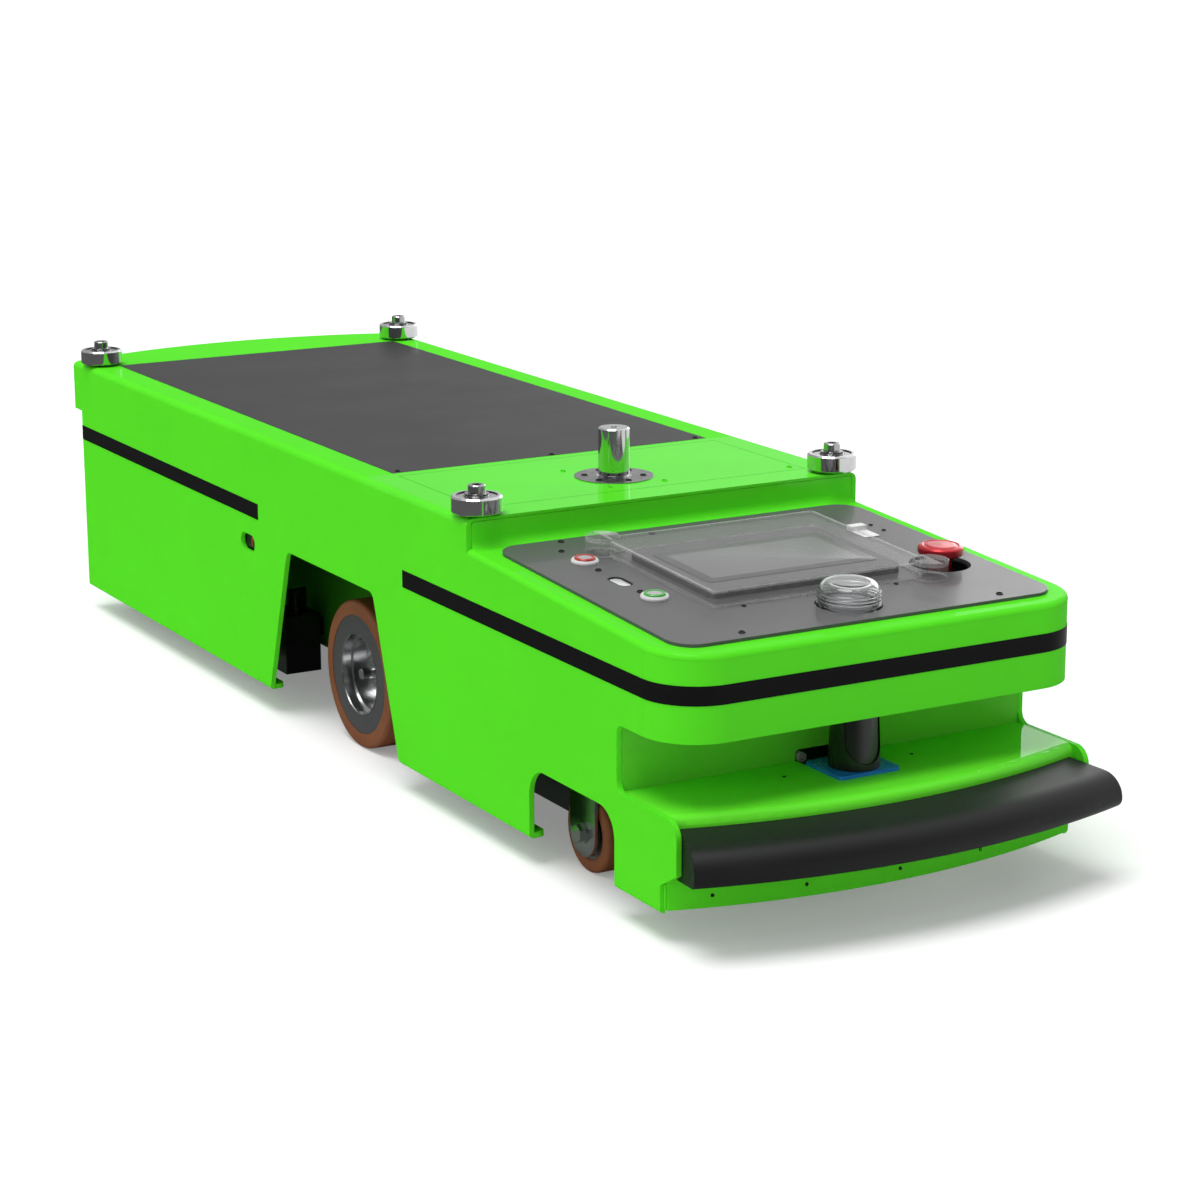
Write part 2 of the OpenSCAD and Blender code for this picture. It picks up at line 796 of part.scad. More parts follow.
module touch_screen() {
    w = (glass_w / 2 + 19.5) * panel_share;
    l = glass_l / 2 + 29.5;
    screen_t = 7.5;
    color("darkgray") on_nose() translate([0, screen_y, panel_t]) linear_extrude(screen_t)
        round_rect(-w, w, -l, l, 6);
}

// clear lid over the screen, with a round ear at two opposite corners
module screen_cover() {
    w = (glass_w / 2 + 33) * panel_share;
    l = glass_l / 2 + 54;
    wall = 4;
    lid_h = 15;
    lid_t = 2.5;
    ear_d = 31;
    ear_h = 17;
    color("lightcyan") on_nose() translate([0, screen_y, panel_t]) difference() {
        union() {
            linear_extrude(lid_h) round_rect(-w, w, -l, l, wall);
            for (p = [[-w, l], [w, -l]]) translate([p[0], p[1], 0]) cylinder(d = ear_d, h = ear_h);
        }
        translate([0, 0, -1]) linear_extrude(lid_h - lid_t + 1)
            round_rect(-w + wall, w - wall, -l + wall, l - wall, wall);
    }
}

module stop_button() {
    r = stop_d / 2;
    neck = r * 0.52;
    color("red") on_nose() translate([stop_at[0], stop_at[1], 0]) rotate_extrude() polygon([
        [0, -8], [neck, -8], [neck, 6], [neck + 1.5, 9], [r - 2.5, 12], [r - 0.7, 12.6], [r, 13.6],
        [r, 17.5], [r - 0.7, 19], [r - 2.2, 20], [r - 4, 20.4], [r - 5, 19.8], [r - 6, 19.8], [r - 7, 20.4],
        [r - 9, 20.8], [0, 21]
    ]);
}

// dark cups under the stop button and the lamp, dark lining of the slot
module panel_wells() {
    wall = 2;
    cup = 12;
    foot = 6;
    color("black") on_nose() {
        translate([stop_at[0], stop_at[1], -cup]) difference() {
            cylinder(d = well_d - 2 * fit, h = cup);
            translate([0, 0, cup - 8]) cylinder(d = well_d - 2 * fit - 2 * wall, h = cup);
        }
        translate([lamp_at[0], lamp_at[1], -foot]) cylinder(d = lamp_well_d - 2 * fit, h = foot);
        translate([0, 0, -foot]) linear_extrude(foot + panel_t) difference() {
            slot_outline(slot_edge - fit);
            slot_outline(0);
        }
    }
}

// button bezels, white slot lamp, rocker switch and the signal lamp's reflector
module panel_fittings() {
    bore = button_d - 5.6;
    rocker_w = 16.5;
    rocker_y = [-15, 6.5, 15.5];
    rocker_t = 0.6;
    rocker_h = 4.8;
    color("white") on_nose() translate([0, 0, panel_t]) {
        for (p = [red_at, green_at]) translate([p[0], p[1], 0]) rotate_extrude() polygon([
            [bore / 2, 0], [button_d / 2, 0], [button_d / 2, 1.5], [button_d / 2 - 1, 3], [bore / 2, 3]
        ]);
        translate([0, 0, -panel_t - 6]) linear_extrude(6.4) slot_outline(-fit);
        translate([rocker_at[0], rocker_at[1], 0]) along_x(-rocker_w / 2, rocker_w / 2) polygon([
            [rocker_y[0], 0], [rocker_y[2], 0], [rocker_y[2], rocker_h], [rocker_y[1], rocker_h],
            [rocker_y[1], rocker_t], [rocker_y[0], rocker_t]
        ]);
        translate([lamp_at[0], lamp_at[1], -panel_t]) rotate_extrude() polygon([
            [0, 0], [lamp_d / 2 - 6, 0], [lamp_d / 2 - 8, 6], [lamp_d / 2 - 16, 9], [0, 9]
        ]);
    }
}

module push_button(p) {
    r = button_d / 2 - 3;
    on_nose() translate([p[0], p[1], panel_t]) rotate_extrude() polygon([
        [0, 0], [r, 0], [r, 4], [r - 0.8, 4.8], [r - 2.4, 4.8], [r - 2.6, 4.2], [0, 4.2]
    ]);
}

module red_button() {
    color("red") push_button(red_at);
}

module green_button() {
    color("green") push_button(green_at);
}

// hollow ribbed signal lamp with a flat crown, standing in its dark cup
module lamp_dome() {
    r = lamp_d / 2;
    crown = 9;
    lamp_h = 21 + panel_t;
    rib = 1.2;
    wall = 2.4;
    side = r - 1.5;
    color("white") on_nose() translate([lamp_at[0], lamp_at[1], 0]) rotate_extrude() {
        difference() {
            union() {
                square([side, lamp_h - crown]);
                square([side - crown, lamp_h]);
                translate([side - crown, lamp_h - crown]) quarter(crown);
            }
            translate([-1, -1]) square([side - wall + 1, lamp_h - crown + 1]);
            translate([-1, -1]) square([side - crown + 1, lamp_h - wall + 1]);
            translate([side - crown, lamp_h - crown]) quarter(crown - wall);
        }
        translate([side - 0.5, 0]) square([2, panel_t + 2]);
        for (z = [6, 9, 12]) translate([side - 0.2, panel_t + z]) circle(rib);
    }
}

// scanner in the recess

module scanner_base() {
    w = scan_base / 2;
    l = scan_base_l / 2;
    color("dodgerblue") translate([0, scan_y, shelf_z]) linear_extrude(scan_t)
        round_rect(-w, w, -l, l, scan_r);
}

// slightly tapered turret with a recessed window facing forwards
module scanner_head() {
    r = scan_d / 2;
    win = r * 0.89;
    win_low = 5.4;
    win_deep = 1.6;
    taper = 2;
    color("black") translate([0, scan_y - 2, shelf_z + scan_t]) difference() {
        turret(r, taper, -1, scan_h);
        difference() {
            along_y(-r - taper - 2, 0) translate([0, win_low]) {
                translate([0, win]) circle(win);
                translate([-win, win]) square([2 * win, scan_h - win_low - win - 6]);
            }
            turret(r - win_deep, taper, -0.5, scan_h + 1);
        }
    }
}

module turret(r, taper, edge, h) {
    rotate_extrude() polygon([
        [0, 0], [r + taper, 0], [r + taper, 1.5], [r, h + edge], [r + edge, h], [0, h]
    ]);
}

module side_sensors() {
    deep = 14;
    color("red") both_sides() translate([inner_x - deep, eye_y - eye_l / 2 + 4, eye_z - eye_h / 2 + 2])
        cube([deep, eye_l - 8, eye_h - 4]);
}

// inside the body

// base plate narrowed round the wheels, with two hollow rails under it
module base_frame() {
    slot_y = 92;
    wall = 3;
    front_y = recess_y + sheet_t;
    rail_w = rail_x[1] - rail_x[0];
    rail_l = rail_y[1] - rail_y[0];
    rail_h = base_z - rail_low;
    color("black") {
        difference() {
            union() {
                translate([-inner_x, front_y, base_z]) cube([2 * inner_x, rail_y[0] - front_y, base_t]);
                translate([-rail_x[1], rail_y[0] - eps, base_z])
                    cube([2 * rail_x[1], rail_y[1] - rail_y[0], base_t]);
                translate([-wall_x, rail_y[1] - 1, base_z])
                    cube([2 * wall_x, rear_base_y - rail_y[1] + 2, base_t]);
                translate([-inner_x, rear_base_y, base_z])
                    cube([2 * inner_x, side_rear_y - sheet_t - rear_base_y, base_t]);
            }
            translate([-wall_x + 6, drive_y - slot_y / 2, base_z - 1])
                cube([2 * wall_x - 12, slot_y, base_t + 2]);
            for (s = SWIVEL) translate([s[1], s[2], base_z - 1]) cylinder(d = 14, h = base_t + 2);
        }
        both_sides() difference() {
            translate([rail_x[0], rail_y[0], rail_low]) cube([rail_w, rail_l - 1, rail_h + eps]);
            translate([rail_x[0] + wall, rail_y[0] - 1, rail_low + wall])
                cube([rail_w - 2 * wall, rail_l + 2, rail_h - 2 * wall]);
        }
    }
}

module bay_walls() {
    low = axle_z - 31;
    color("darkgreen") both_sides() difference() {
        translate([wall_x, wall_y[0], low]) cube([sheet_t, wall_y[1] - wall_y[0], under_z - sheet_t - low]);
        translate([wall_x - 1, drive_y, axle_z]) rotate([0, 90, 0]) cylinder(d = 40, h = sheet_t + 2);
    }
}

module battery() {
    x = wall_x - 8;
    battery_l = 310;
    battery_h = 130;
    color("dimgray") translate([-x, rear_base_y - battery_l - 13, base_z + base_t])
        cube([2 * x, battery_l, battery_h]);
}

// gearbox block with motor, bearing collar and axle on each side
module drive_units() {
    box = 78;
    box_x = 44;
    motor_d = 70;
    collar_d = 34;
    color("gray") both_sides() translate([0, drive_y, axle_z]) {
        translate([wall_x - box_x - 6, -box / 2, -box / 2]) cube([box_x, box, box]);
        rotate([0, 90, 0]) {
            translate([0, 0, 12]) cylinder(d = motor_d, h = wall_x - box_x - 6);
            translate([0, 0, wall_x - 7]) cylinder(d = collar_d, h = 18);
            translate([0, 0, wall_x]) cylinder(d = axle_d, h = drive_x - 33.5 - wall_x);
        }
    }
}

// floor code reader beside the drive wheel on the right-hand side, hung from the bay wall
module ground_reader() {
    box = [40, 52, 62];
    x = -drive_x + 13;
    y = bay_low[1] + 53;
    low = skirt_z - 2.5;
    top = low + box[2];
    color("black") {
        translate([x, y, low]) cube(box);
        translate([x + 15, y + 7, top - eps]) cylinder(d = 6, h = 24);
        translate([x + 18, y + 32, top - eps]) cube([21, 3, 22]);
        translate([x + box[0] - 3, y + 20, top - 30]) cube([-wall_x - sheet_t - x - box[0] + 3, 16, 20]);
    }
}

module on_axle(s) {
    translate([s * drive_x, drive_y, axle_z]) rotate([0, -s * 90, 0]) children();
}

module drive_tyre(s) {
    r = drive_d / 2;
    soft = 4;
    color("sienna") on_axle(s) rotate_extrude() {
        round_rect(r - 2 * soft - 1, r, 0, drive_w, soft);
        translate([r - tyre_t + 0.1, 0]) square([tyre_t - soft - 0.1, drive_w]);
    }
}

module drive_core(s) {
    dip = 0.8;
    color("gray") on_axle(s) rotate_extrude() translate([dish_d / 2 + 0.1, dip])
        square([drive_d / 2 - tyre_t - dish_d / 2 - 0.1, drive_w - 2 * dip]);
}

// stepped steel dish with the axle boss and the end of its bolt
module drive_hub(s) {
    r = dish_d / 2;
    bore = axle_d / 2 + 0.05;
    color("silver") on_axle(s) rotate_extrude() polygon([
        [0, 3], [5, 3], [5.5, 3.5], [5.5, 16], [15.5, 16], [16.5, 17], [16.5, 27], [r - 3.5, 27],
        [r - 3.5, 12], [r - 1, 12], [r - 1, 1.4], [r - 0.4, 0.4], [r, 0.4], [r, drive_w - 8], [22, drive_w - 8],
        [22, drive_w], [bore, drive_w], [bore, 33], [0, 33]
    ]);
}

// castors

module fork(s) {
    leg_t = 3;
    leg_r = 22;
    leg_x = castor_w / 2 + 2;
    crown_z = castor_h - 20;
    color("silver") translate([s[1], s[2], 0]) {
        translate([0, 0, crown_z + 4 - eps]) cylinder(d = 46, h = castor_h - fit - crown_z - 4);
        translate([0, 0, castor_h - 2]) cylinder(d = 13.9, h = base_t + 6);
        translate([-leg_x - leg_t, -23, crown_z]) cube([2 * (leg_x + leg_t), castor_trail + leg_r + 23, 4]);
        for (m = [0, 1]) mirror([m, 0, 0]) {
            along_x(leg_x, leg_x + leg_t) translate([castor_trail, castor_d / 2]) {
                circle(leg_r);
                translate([-leg_r, 0]) square([2 * leg_r, crown_z - castor_d / 2 + 1]);
            }
            translate([leg_x + leg_t - eps, castor_trail, castor_d / 2]) rotate([0, 90, 0]) {
                cylinder(d = 20, h = 1.5);
                cylinder(d = 17, h = 6.5, $fn = 6);
            }
        }
        translate([0, castor_trail, castor_d / 2]) rotate([0, 90, 0])
            cylinder(d = 9.9, h = 2 * leg_x + 2 * leg_t, center = true);
    }
}

module castor(s) {
    r = castor_d / 2;
    w = castor_w / 2;
    soft = 4;
    rim = r - 12.5;
    color("saddlebrown") translate([s[1], s[2] + castor_trail, castor_d / 2]) rotate([0, 90, 0])
        rotate_extrude() {
            round_rect(rim - 1, r, -w, w, soft);
            polygon([
                [5, -w], [12, -w], [13, -w + 5], [rim - 4, -w + 5], [rim - 3, -w + 2], [rim + 6, -w + 2],
                [rim + 6, w - 2], [rim - 3, w - 2], [rim - 4, w - 5], [13, w - 5], [12, w], [5, w]
            ]);
        }
}

body_shell();
nose_side(1);  // nose_side_l
nose_side(-1);  // nose_side_r
rear_lip();
rear_panel();
nose_hood();
recess_panel();
front_shelf();
front_skirt();
bumper();
deck_cover();
pin_plate();
pin_guide();
tow_pin();
roller_studs();
roller(ROLLER[0]);  // roller_fl
roller(ROLLER[1]);  // roller_fr
roller(ROLLER[2]);  // roller_rl
roller(ROLLER[3]);  // roller_rr
control_plate();
touch_screen();
screen_cover();
stop_button();
panel_wells();
panel_fittings();
red_button();
green_button();
lamp_dome();
scanner_head();
scanner_base();
side_sensors();
base_frame();
bay_walls();
battery();
drive_units();
ground_reader();
drive_tyre(1);  // drive_tyre_l
drive_tyre(-1);  // drive_tyre_r
drive_core(1);  // drive_core_l
drive_core(-1);  // drive_core_r
drive_hub(1);  // drive_hub_l
drive_hub(-1);  // drive_hub_r
fork(SWIVEL[0]);  // fork_fl
fork(SWIVEL[1]);  // fork_fr
fork(SWIVEL[2]);  // fork_rl
fork(SWIVEL[3]);  // fork_rr
castor(SWIVEL[0]);  // castor_fl
castor(SWIVEL[1]);  // castor_fr
castor(SWIVEL[2]);  // castor_rl
castor(SWIVEL[3]);  // castor_rr
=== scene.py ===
import math

import bpy
from mathutils import Matrix, Vector


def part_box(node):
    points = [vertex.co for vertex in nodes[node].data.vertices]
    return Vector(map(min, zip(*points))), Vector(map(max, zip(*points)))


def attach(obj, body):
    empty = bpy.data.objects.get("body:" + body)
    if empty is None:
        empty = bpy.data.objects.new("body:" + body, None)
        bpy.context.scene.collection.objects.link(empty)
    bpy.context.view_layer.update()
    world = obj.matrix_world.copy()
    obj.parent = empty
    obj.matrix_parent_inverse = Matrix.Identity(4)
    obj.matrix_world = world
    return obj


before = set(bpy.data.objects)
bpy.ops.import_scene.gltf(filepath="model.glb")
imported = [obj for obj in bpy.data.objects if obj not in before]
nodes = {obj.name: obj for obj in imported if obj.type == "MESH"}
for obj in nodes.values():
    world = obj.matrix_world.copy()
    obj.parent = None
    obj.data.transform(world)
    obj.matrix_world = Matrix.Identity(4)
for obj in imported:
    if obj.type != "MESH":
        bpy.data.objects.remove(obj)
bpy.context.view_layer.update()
print("frame loaded,", len(nodes), "nodes")


class Value:  # a number socket that takes part in Python sums
    def __init__(self, tree, socket):
        self.tree = tree
        self.socket = socket

    def math(self, operation, other=None):
        return self.tree.add("ShaderNodeMath", {"operation": operation}, {0: self, 1: other})

    def __add__(self, other):
        return self.math("ADD", other)

    __radd__ = __add__

    def __mul__(self, other):
        return self.math("MULTIPLY", other)

    __rmul__ = __mul__

    def __sub__(self, other):
        return self.math("SUBTRACT", other)

    def __rsub__(self, other):
        return self.tree.add("ShaderNodeMath", {"operation": "SUBTRACT"}, {0: other, 1: self})

    def __pow__(self, other):
        return self.math("POWER", other)

    def __abs__(self):
        return self.math("ABSOLUTE")

    def most(self, other):
        return self.math("MAXIMUM", other)

    def least(self, other):
        return self.math("MINIMUM", other)

    def radius(self, other):  # distance from an axis
        return (self * self + other * other) ** 0.5

    def ramp(self, low, high, start=0.0, end=1.0):  # smooth step from low to high
        return self.tree.add("ShaderNodeMapRange", {"interpolation_type": "SMOOTHSTEP"},
                             {0: self, 1: low, 2: high, 3: start, 4: end})


class Tree:  # a node tree, its nodes added by kind
    def __init__(self, tree):
        self.tree = tree

    def add(self, kind, settings=None, sockets=None, output=0):
        node = self.tree.nodes.new(kind)
        for key, value in (settings or {}).items():
            setattr(node, key, value)
        for key, value in (sockets or {}).items():
            if isinstance(value, Value):
                self.tree.links.new(value.socket, node.inputs[key])
            elif value is not None:
                node.inputs[key].default_value = value
        return Value(self, node.outputs[output])

    def axes(self, spot):
        return [self.add("ShaderNodeSeparateXYZ", None, {0: spot}, i) for i in range(3)]

    def rays(self):  # rays that see straight or through glass, and mirrored ones
        camera, glossy, through = (self.add("ShaderNodeLightPath", output=i) for i in (0, 3, 6))
        return (camera + through).least(1.0), glossy


class Finish(Tree):  # one material
    def __init__(self, name, fixed=None):
        self.material = bpy.data.materials.new(name)
        self.material.use_nodes = True
        super().__init__(self.material.node_tree)
        self.shader = self.tree.nodes["Principled BSDF"]
        for key, value in (fixed or {}).items():
            self.shader.inputs[key].default_value = value

    def feed(self, name, value):
        self.tree.links.new(value.socket, self.shader.inputs[name])

    def place(self, centre=(0, 0, 0), turn=(0, 0, 0)):  # object coordinates, moved to a centre and turned
        spot = self.add("ShaderNodeTexCoord", output=3)
        if any(centre) or any(turn):
            spot = self.add("ShaderNodeMapping", {"vector_type": "TEXTURE"},
                            {"Vector": spot, "Location": centre, "Rotation": turn})
        return spot

    def noise(self, scale, detail=2.0, rough=0.5, stretch=None):
        spot = self.place()
        if stretch:
            spot = self.add("ShaderNodeVectorMath", {"operation": "MULTIPLY"}, {0: spot, 1: stretch})
        return self.add("ShaderNodeTexNoise", None,
                        {"Vector": spot, "Scale": scale, "Detail": detail, "Roughness": rough})

    def blend(self, share, first, second):  # colour mix
        return self.add("ShaderNodeMix", {"data_type": "RGBA"}, {0: share, 6: first, 7: second}, 2)

    def soft(self, radius):  # the normal, rounded over sharp edges
        return self.add("ShaderNodeBevel", {"samples": 4}, {"Radius": radius})

    def facing(self):  # the normal as it is
        return self.add("ShaderNodeNewGeometry", output=1)

    def facingUp(self):
        return self.axes(self.facing())[2]

    def edges(self, radius, hide=None):  # 1 along sharp edges, and the softened normal
        soft = self.soft(radius)
        flat = self.facing()
        dot = self.add("ShaderNodeVectorMath", {"operation": "DOT_PRODUCT"}, {0: soft, 1: flat}, 1)
        edge = (1 - dot).ramp(0.03, 0.25)
        if hide:  # welded seams that are painted over
            soft = self.add("ShaderNodeMix", {"data_type": "VECTOR"}, {0: hide, 4: soft, 5: flat}, 1)
            edge = edge * (1 - hide)
        return edge, soft

    def bump(self, height, strength, distance, normal=None):
        return self.add("ShaderNodeBump", None,
                        {"Height": height, "Strength": strength, "Distance": distance, "Normal": normal})


def grey(tone, blue=None):  # blue where it differs from the rest
    return (tone, tone, blue or tone, 1)


def shade(colour, share):
    return [c * share for c in colour[:3]] + [1]


def middle(name):  # centre of a node's box
    low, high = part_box(name)
    return tuple((low + high) / 2)


def wear(finish, colour, worn, rough, grain, edgeRadius=0.0006, soil=0.10, hide=None, second=None):
    # shared treatment: cloudy tone, fine grain, worn edges; rough = (low, high), grain = (scale, strength)
    # second = (mask, colour)
    cloud = finish.noise(7.0, 4.0, 0.6)
    speck = finish.noise(260.0, 3.0, 0.6)
    edge, soft = finish.edges(edgeRadius, hide)
    broken = edge * speck.ramp(0.42, 0.60)
    tone = finish.blend(cloud.ramp(0.30, 0.72), shade(colour, 1 - soil), colour)
    if second:
        tone = finish.blend(second[0], tone, second[1])
    finish.feed("Base Color", finish.blend(broken * 0.55, tone, worn))
    low, high = rough
    finish.feed("Roughness", cloud.ramp(0.25, 0.75, low, high) + speck * 0.04 - 0.02)
    scale, strength = grain
    finish.feed("Normal", finish.bump(finish.noise(scale), strength, 0.0004, soft))
    return cloud, edge


# the nose's own frame: on its sheet at the step, tilted with it
noseSheet = {"origin": (0.0, -0.3065, 0.2652), "tilt": 3.16, "plate": 0.003, "fold": 0.005, "end": -0.6155}
noseTurn = (math.radians(noseSheet["tilt"]), 0, 0)
noseFrame = Matrix.Translation(noseSheet["origin"]) @ Matrix.Rotation(noseTurn[0], 4, "X")


def onNose(x, y, z=0.0):
    return noseFrame @ Matrix.Translation((x, y, z))


paint = {"side": 0.208, "seam": (0.0016, 0.0010), "below": 0.003, "recessTop": 0.171, "blur": 0.001,
         "strip": (-0.085, -0.100), "deck": (0.284, 0.286), "rubbed": 0.22}


def paintGreen(name, colour, coat):
    finish = Finish(name, {"Specular IOR Level": 0.0, "Coat Roughness": 0.04, "Coat IOR": 1.5})
    x, y, z = finish.axes(finish.place())
    step, top = noseSheet["origin"][1:]
    high = z - (y - step) * math.tan(noseTurn[0]) - top  # above the nose's sheet
    seam, recessTop, blur = paint["seam"], paint["recessTop"], paint["blur"]
    atStep = abs(y - step).ramp(*seam) * high.ramp(-paint["below"], -paint["below"] - blur)
    atEnd = abs(y - noseSheet["end"]).ramp(*seam) * z.ramp(recessTop, recessTop + blur)
    atFold = abs(high + noseSheet["fold"]).ramp(*seam) * y.ramp(step + blur, step)
    outer = abs(x).ramp(paint["side"], paint["side"] + blur / 2)
    hide = (atStep + atEnd + atFold).least(1.0) * outer
    cloud, edge = wear(finish, colour, (0.16, 0.84, 0.07, 1), (0.36, 0.44), (420.0, 0.04), 0.0009, 0.04, hide)
    rubbed = y.ramp(*paint["strip"]) * z.ramp(*paint["deck"])  # the deck round the pin shines more
    layer = cloud.ramp(0.2, 0.8, coat * 1.1, coat * 0.9) - edge * (coat * 0.25)
    finish.feed("Coat Weight", layer + rubbed * paint["rubbed"])
    return finish.material


def paintTape():
    finish = Finish("blackTape", {"Specular IOR Level": 0.04})
    wear(finish, grey(0.0085, 0.0088), grey(0.018), (0.38, 0.46), (700.0, 0.05), 0.0003)
    return finish.material


def bumperFoam():
    finish = Finish("bumperFoam", {"Specular IOR Level": 0.22})
    wear(finish, grey(0.012, 0.0125), grey(0.03), (0.42, 0.52), (900.0, 0.16), 0.002)
    return finish.material


def greyPlate(name, tone, shine, coat):
    finish = Finish(name, {"Specular IOR Level": shine, "Coat Roughness": 0.07, "Coat IOR": 1.5})
    colour = grey(tone, tone * 1.02)
    cloud = wear(finish, colour, grey(0.26, 0.27), (0.36, 0.44), (1500.0, 0.08), 0.0005, 0.06)[0]
    finish.feed("Coat Weight", cloud.ramp(0.25, 0.75, coat * 1.1, coat * 0.9))
    return finish.material


def chrome(name, tone, rough):  # darker on faces that look up: painted shade, so they mirror less of the bright overhead
    finish = Finish(name)
    cloud = finish.noise(40.0, 3.0, 0.6)
    rubbed = finish.noise(180.0, 2.0, 0.6, stretch=(1, 1, 0.08))
    side = finish.blend(cloud.ramp(0.3, 0.7), shade(tone, 0.94), tone)
    # painted shade: base colour cut to 0.55 where the face looks up
    finish.feed("Base Color", finish.blend(finish.facingUp().ramp(0.85, 0.97), side, shade(tone, 0.55)))
    finish.feed("Roughness", rubbed.ramp(0.3, 0.75, rough, rough * 1.9))
    finish.feed("Metallic", 1 - cloud.ramp(0.70, 0.80, 0.0, 0.06))
    finish.feed("Normal", finish.bump(rubbed, 0.02, 0.0003, finish.soft(0.0005)))
    return finish.material


bearing = {"shield": (0.0114, 0.0190), "blur": 0.0002, "grooves": ((0.0188, 0.0007), (0.0122, 0.0006))}


def bearingSteel(name, centre):  # bright outer ring, darker shield between two fine grooves
    finish = Finish(name)
    x, y = finish.axes(finish.place(centre))[:2]
    radius = x.radius(y)
    cloud = finish.noise(40.0, 3.0, 0.6)
    rubbed = finish.noise(180.0, 2.0, 0.6, stretch=(1, 1, 0.08))
    inner, outer = bearing["shield"]
    blur = bearing["blur"]
    shield = radius.ramp(outer + blur, outer - blur) * radius.ramp(inner - blur, inner + blur)
    first, second = (abs(radius - at).ramp(half, 0.0003) for at, half in bearing["grooves"])
    groove = first.most(second)
    tone = finish.blend(cloud.ramp(0.3, 0.7), grey(0.60, 0.61), grey(0.68, 0.69))
    tone = finish.blend(shield, tone, grey(0.42, 0.43))
    finish.feed("Base Color", finish.blend(groove, tone, grey(0.02)))
    finish.feed("Metallic", 1 - groove * 0.9)
    finish.feed("Roughness", rubbed.ramp(0.3, 0.75, 0.05, 0.10) + shield * 0.08)
    finish.feed("Normal", finish.bump(rubbed, 0.02, 0.0003, finish.soft(0.0006)))
    return finish.material


def turnedSteel(name, tone, centre, rough):  # lathe rings about an axis along X
    finish = Finish(name)
    y, z = finish.axes(finish.place(centre))[1:]
    rings = finish.add("ShaderNodeTexNoise", {"noise_dimensions": "1D"},
                       {"W": y.radius(z), "Scale": 1500.0, "Detail": 3.0})
    cloud = finish.noise(30.0, 3.0)
    finish.feed("Base Color", finish.blend(cloud.ramp(0.3, 0.7), shade(tone, 0.86), tone))
    finish.feed("Metallic", 1 - cloud.ramp(0.66, 0.8, 0.0, 0.08))
    finish.feed("Roughness", rings.ramp(0.3, 0.7, rough, rough + 0.14))
    finish.feed("Normal", finish.bump(rings, 0.10, 0.0003, finish.soft(0.0007)))
    return finish.material


def plastic(name, colour, worn, rough, grain=(1400.0, 0.06), shine=0.5):
    finish = Finish(name, {"Specular IOR Level": shine})
    wear(finish, colour, worn, rough, grain, 0.0004)
    return finish.material


scanner = {"window": 0.0236, "taper": 0.045, "sill": 0.005}


def scannerBlack():  # satin turret, glossy where the window is sunk into it
    finish = Finish("scannerBlack", {"Specular IOR Level": 0.4, "Coat Roughness": 0.03})
    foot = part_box("scanner_head")[0].z
    x, y, z = finish.axes(finish.place(middle("scanner_head")[:2] + (foot,)))
    radius = x.radius(y) + z * scanner["taper"]
    window = radius.ramp(scanner["window"], scanner["window"] - 0.0006) * y.ramp(0.0, -0.002)
    window = window * z.ramp(scanner["sill"], scanner["sill"] + 0.001)
    cloud = wear(finish, grey(0.010, 0.011), grey(0.03), (0.30, 0.40), (900.0, 0.08))[0]
    finish.feed("Coat Weight", window * cloud.ramp(0.3, 0.7, 0.30, 0.24))
    return finish.material


lid = {"centre": (0.0, -0.1654, 0.003), "half": 0.1115, "long": 0.0935, "tall": 0.015, "rim": 0.0026,
       "ear": 0.0012, "foot": 0.0022, "blur": 0.0006}


def clearLid():  # paler where the clear sheet is seen end on, but not on its ears
    finish = Finish("clearLid", {"Specular IOR Level": 0.5})
    haze = finish.noise(60.0, 3.0)
    edge, soft = finish.edges(0.0009)
    x, y, z = finish.axes(finish.place(onNose(*lid["centre"]).translation, noseTurn))
    rim, blur = lid["rim"], lid["blur"]
    reaches = ((abs(x), lid["half"]), (abs(y), lid["long"]), (z, lid["tall"]))
    atSide, atEnd, atTop = (reach.ramp(most - rim, most - rim + blur) for reach, most in reaches)
    flat = abs(finish.facingUp()).ramp(0.6, 0.8)
    ear = lid["half"] + lid["ear"]
    border = atSide.most(atEnd) * abs(x).ramp(ear, ear - blur) * flat
    foot = (z.ramp(lid["foot"], lid["foot"] - blur) + atTop).least(1.0) * (1 - flat)
    edge = edge.most(border * 0.40).most(foot * 0.45)
    finish.feed("Base Color", finish.blend(haze.ramp(0.3, 0.7), grey(0.68), grey(0.76)))
    finish.feed("Alpha", 0.05 + edge * 0.60 + haze * 0.02)
    finish.feed("Roughness", haze.ramp(0.3, 0.75, 0.04, 0.08))
    finish.feed("Normal", finish.bump(haze, 0.01, 0.0003, soft))
    return finish.material


def lampGlass():
    finish = Finish("lampGlass", {"Transmission Weight": 1.0, "IOR": 1.40, "Specular IOR Level": 0.5})
    haze = finish.noise(60.0, 3.0)
    edge, soft = finish.edges(0.0008)
    # edges tinted darker: painted shade for the dark lines along the ribbed glass
    finish.feed("Base Color", finish.blend(edge * 0.5, (0.78, 0.79, 0.79, 1), (0.40, 0.41, 0.41, 1)))
    finish.feed("Roughness", haze.ramp(0.3, 0.75, 0.02, 0.06))
    finish.feed("Normal", finish.bump(haze, 0.01, 0.0003, soft))
    return finish.material


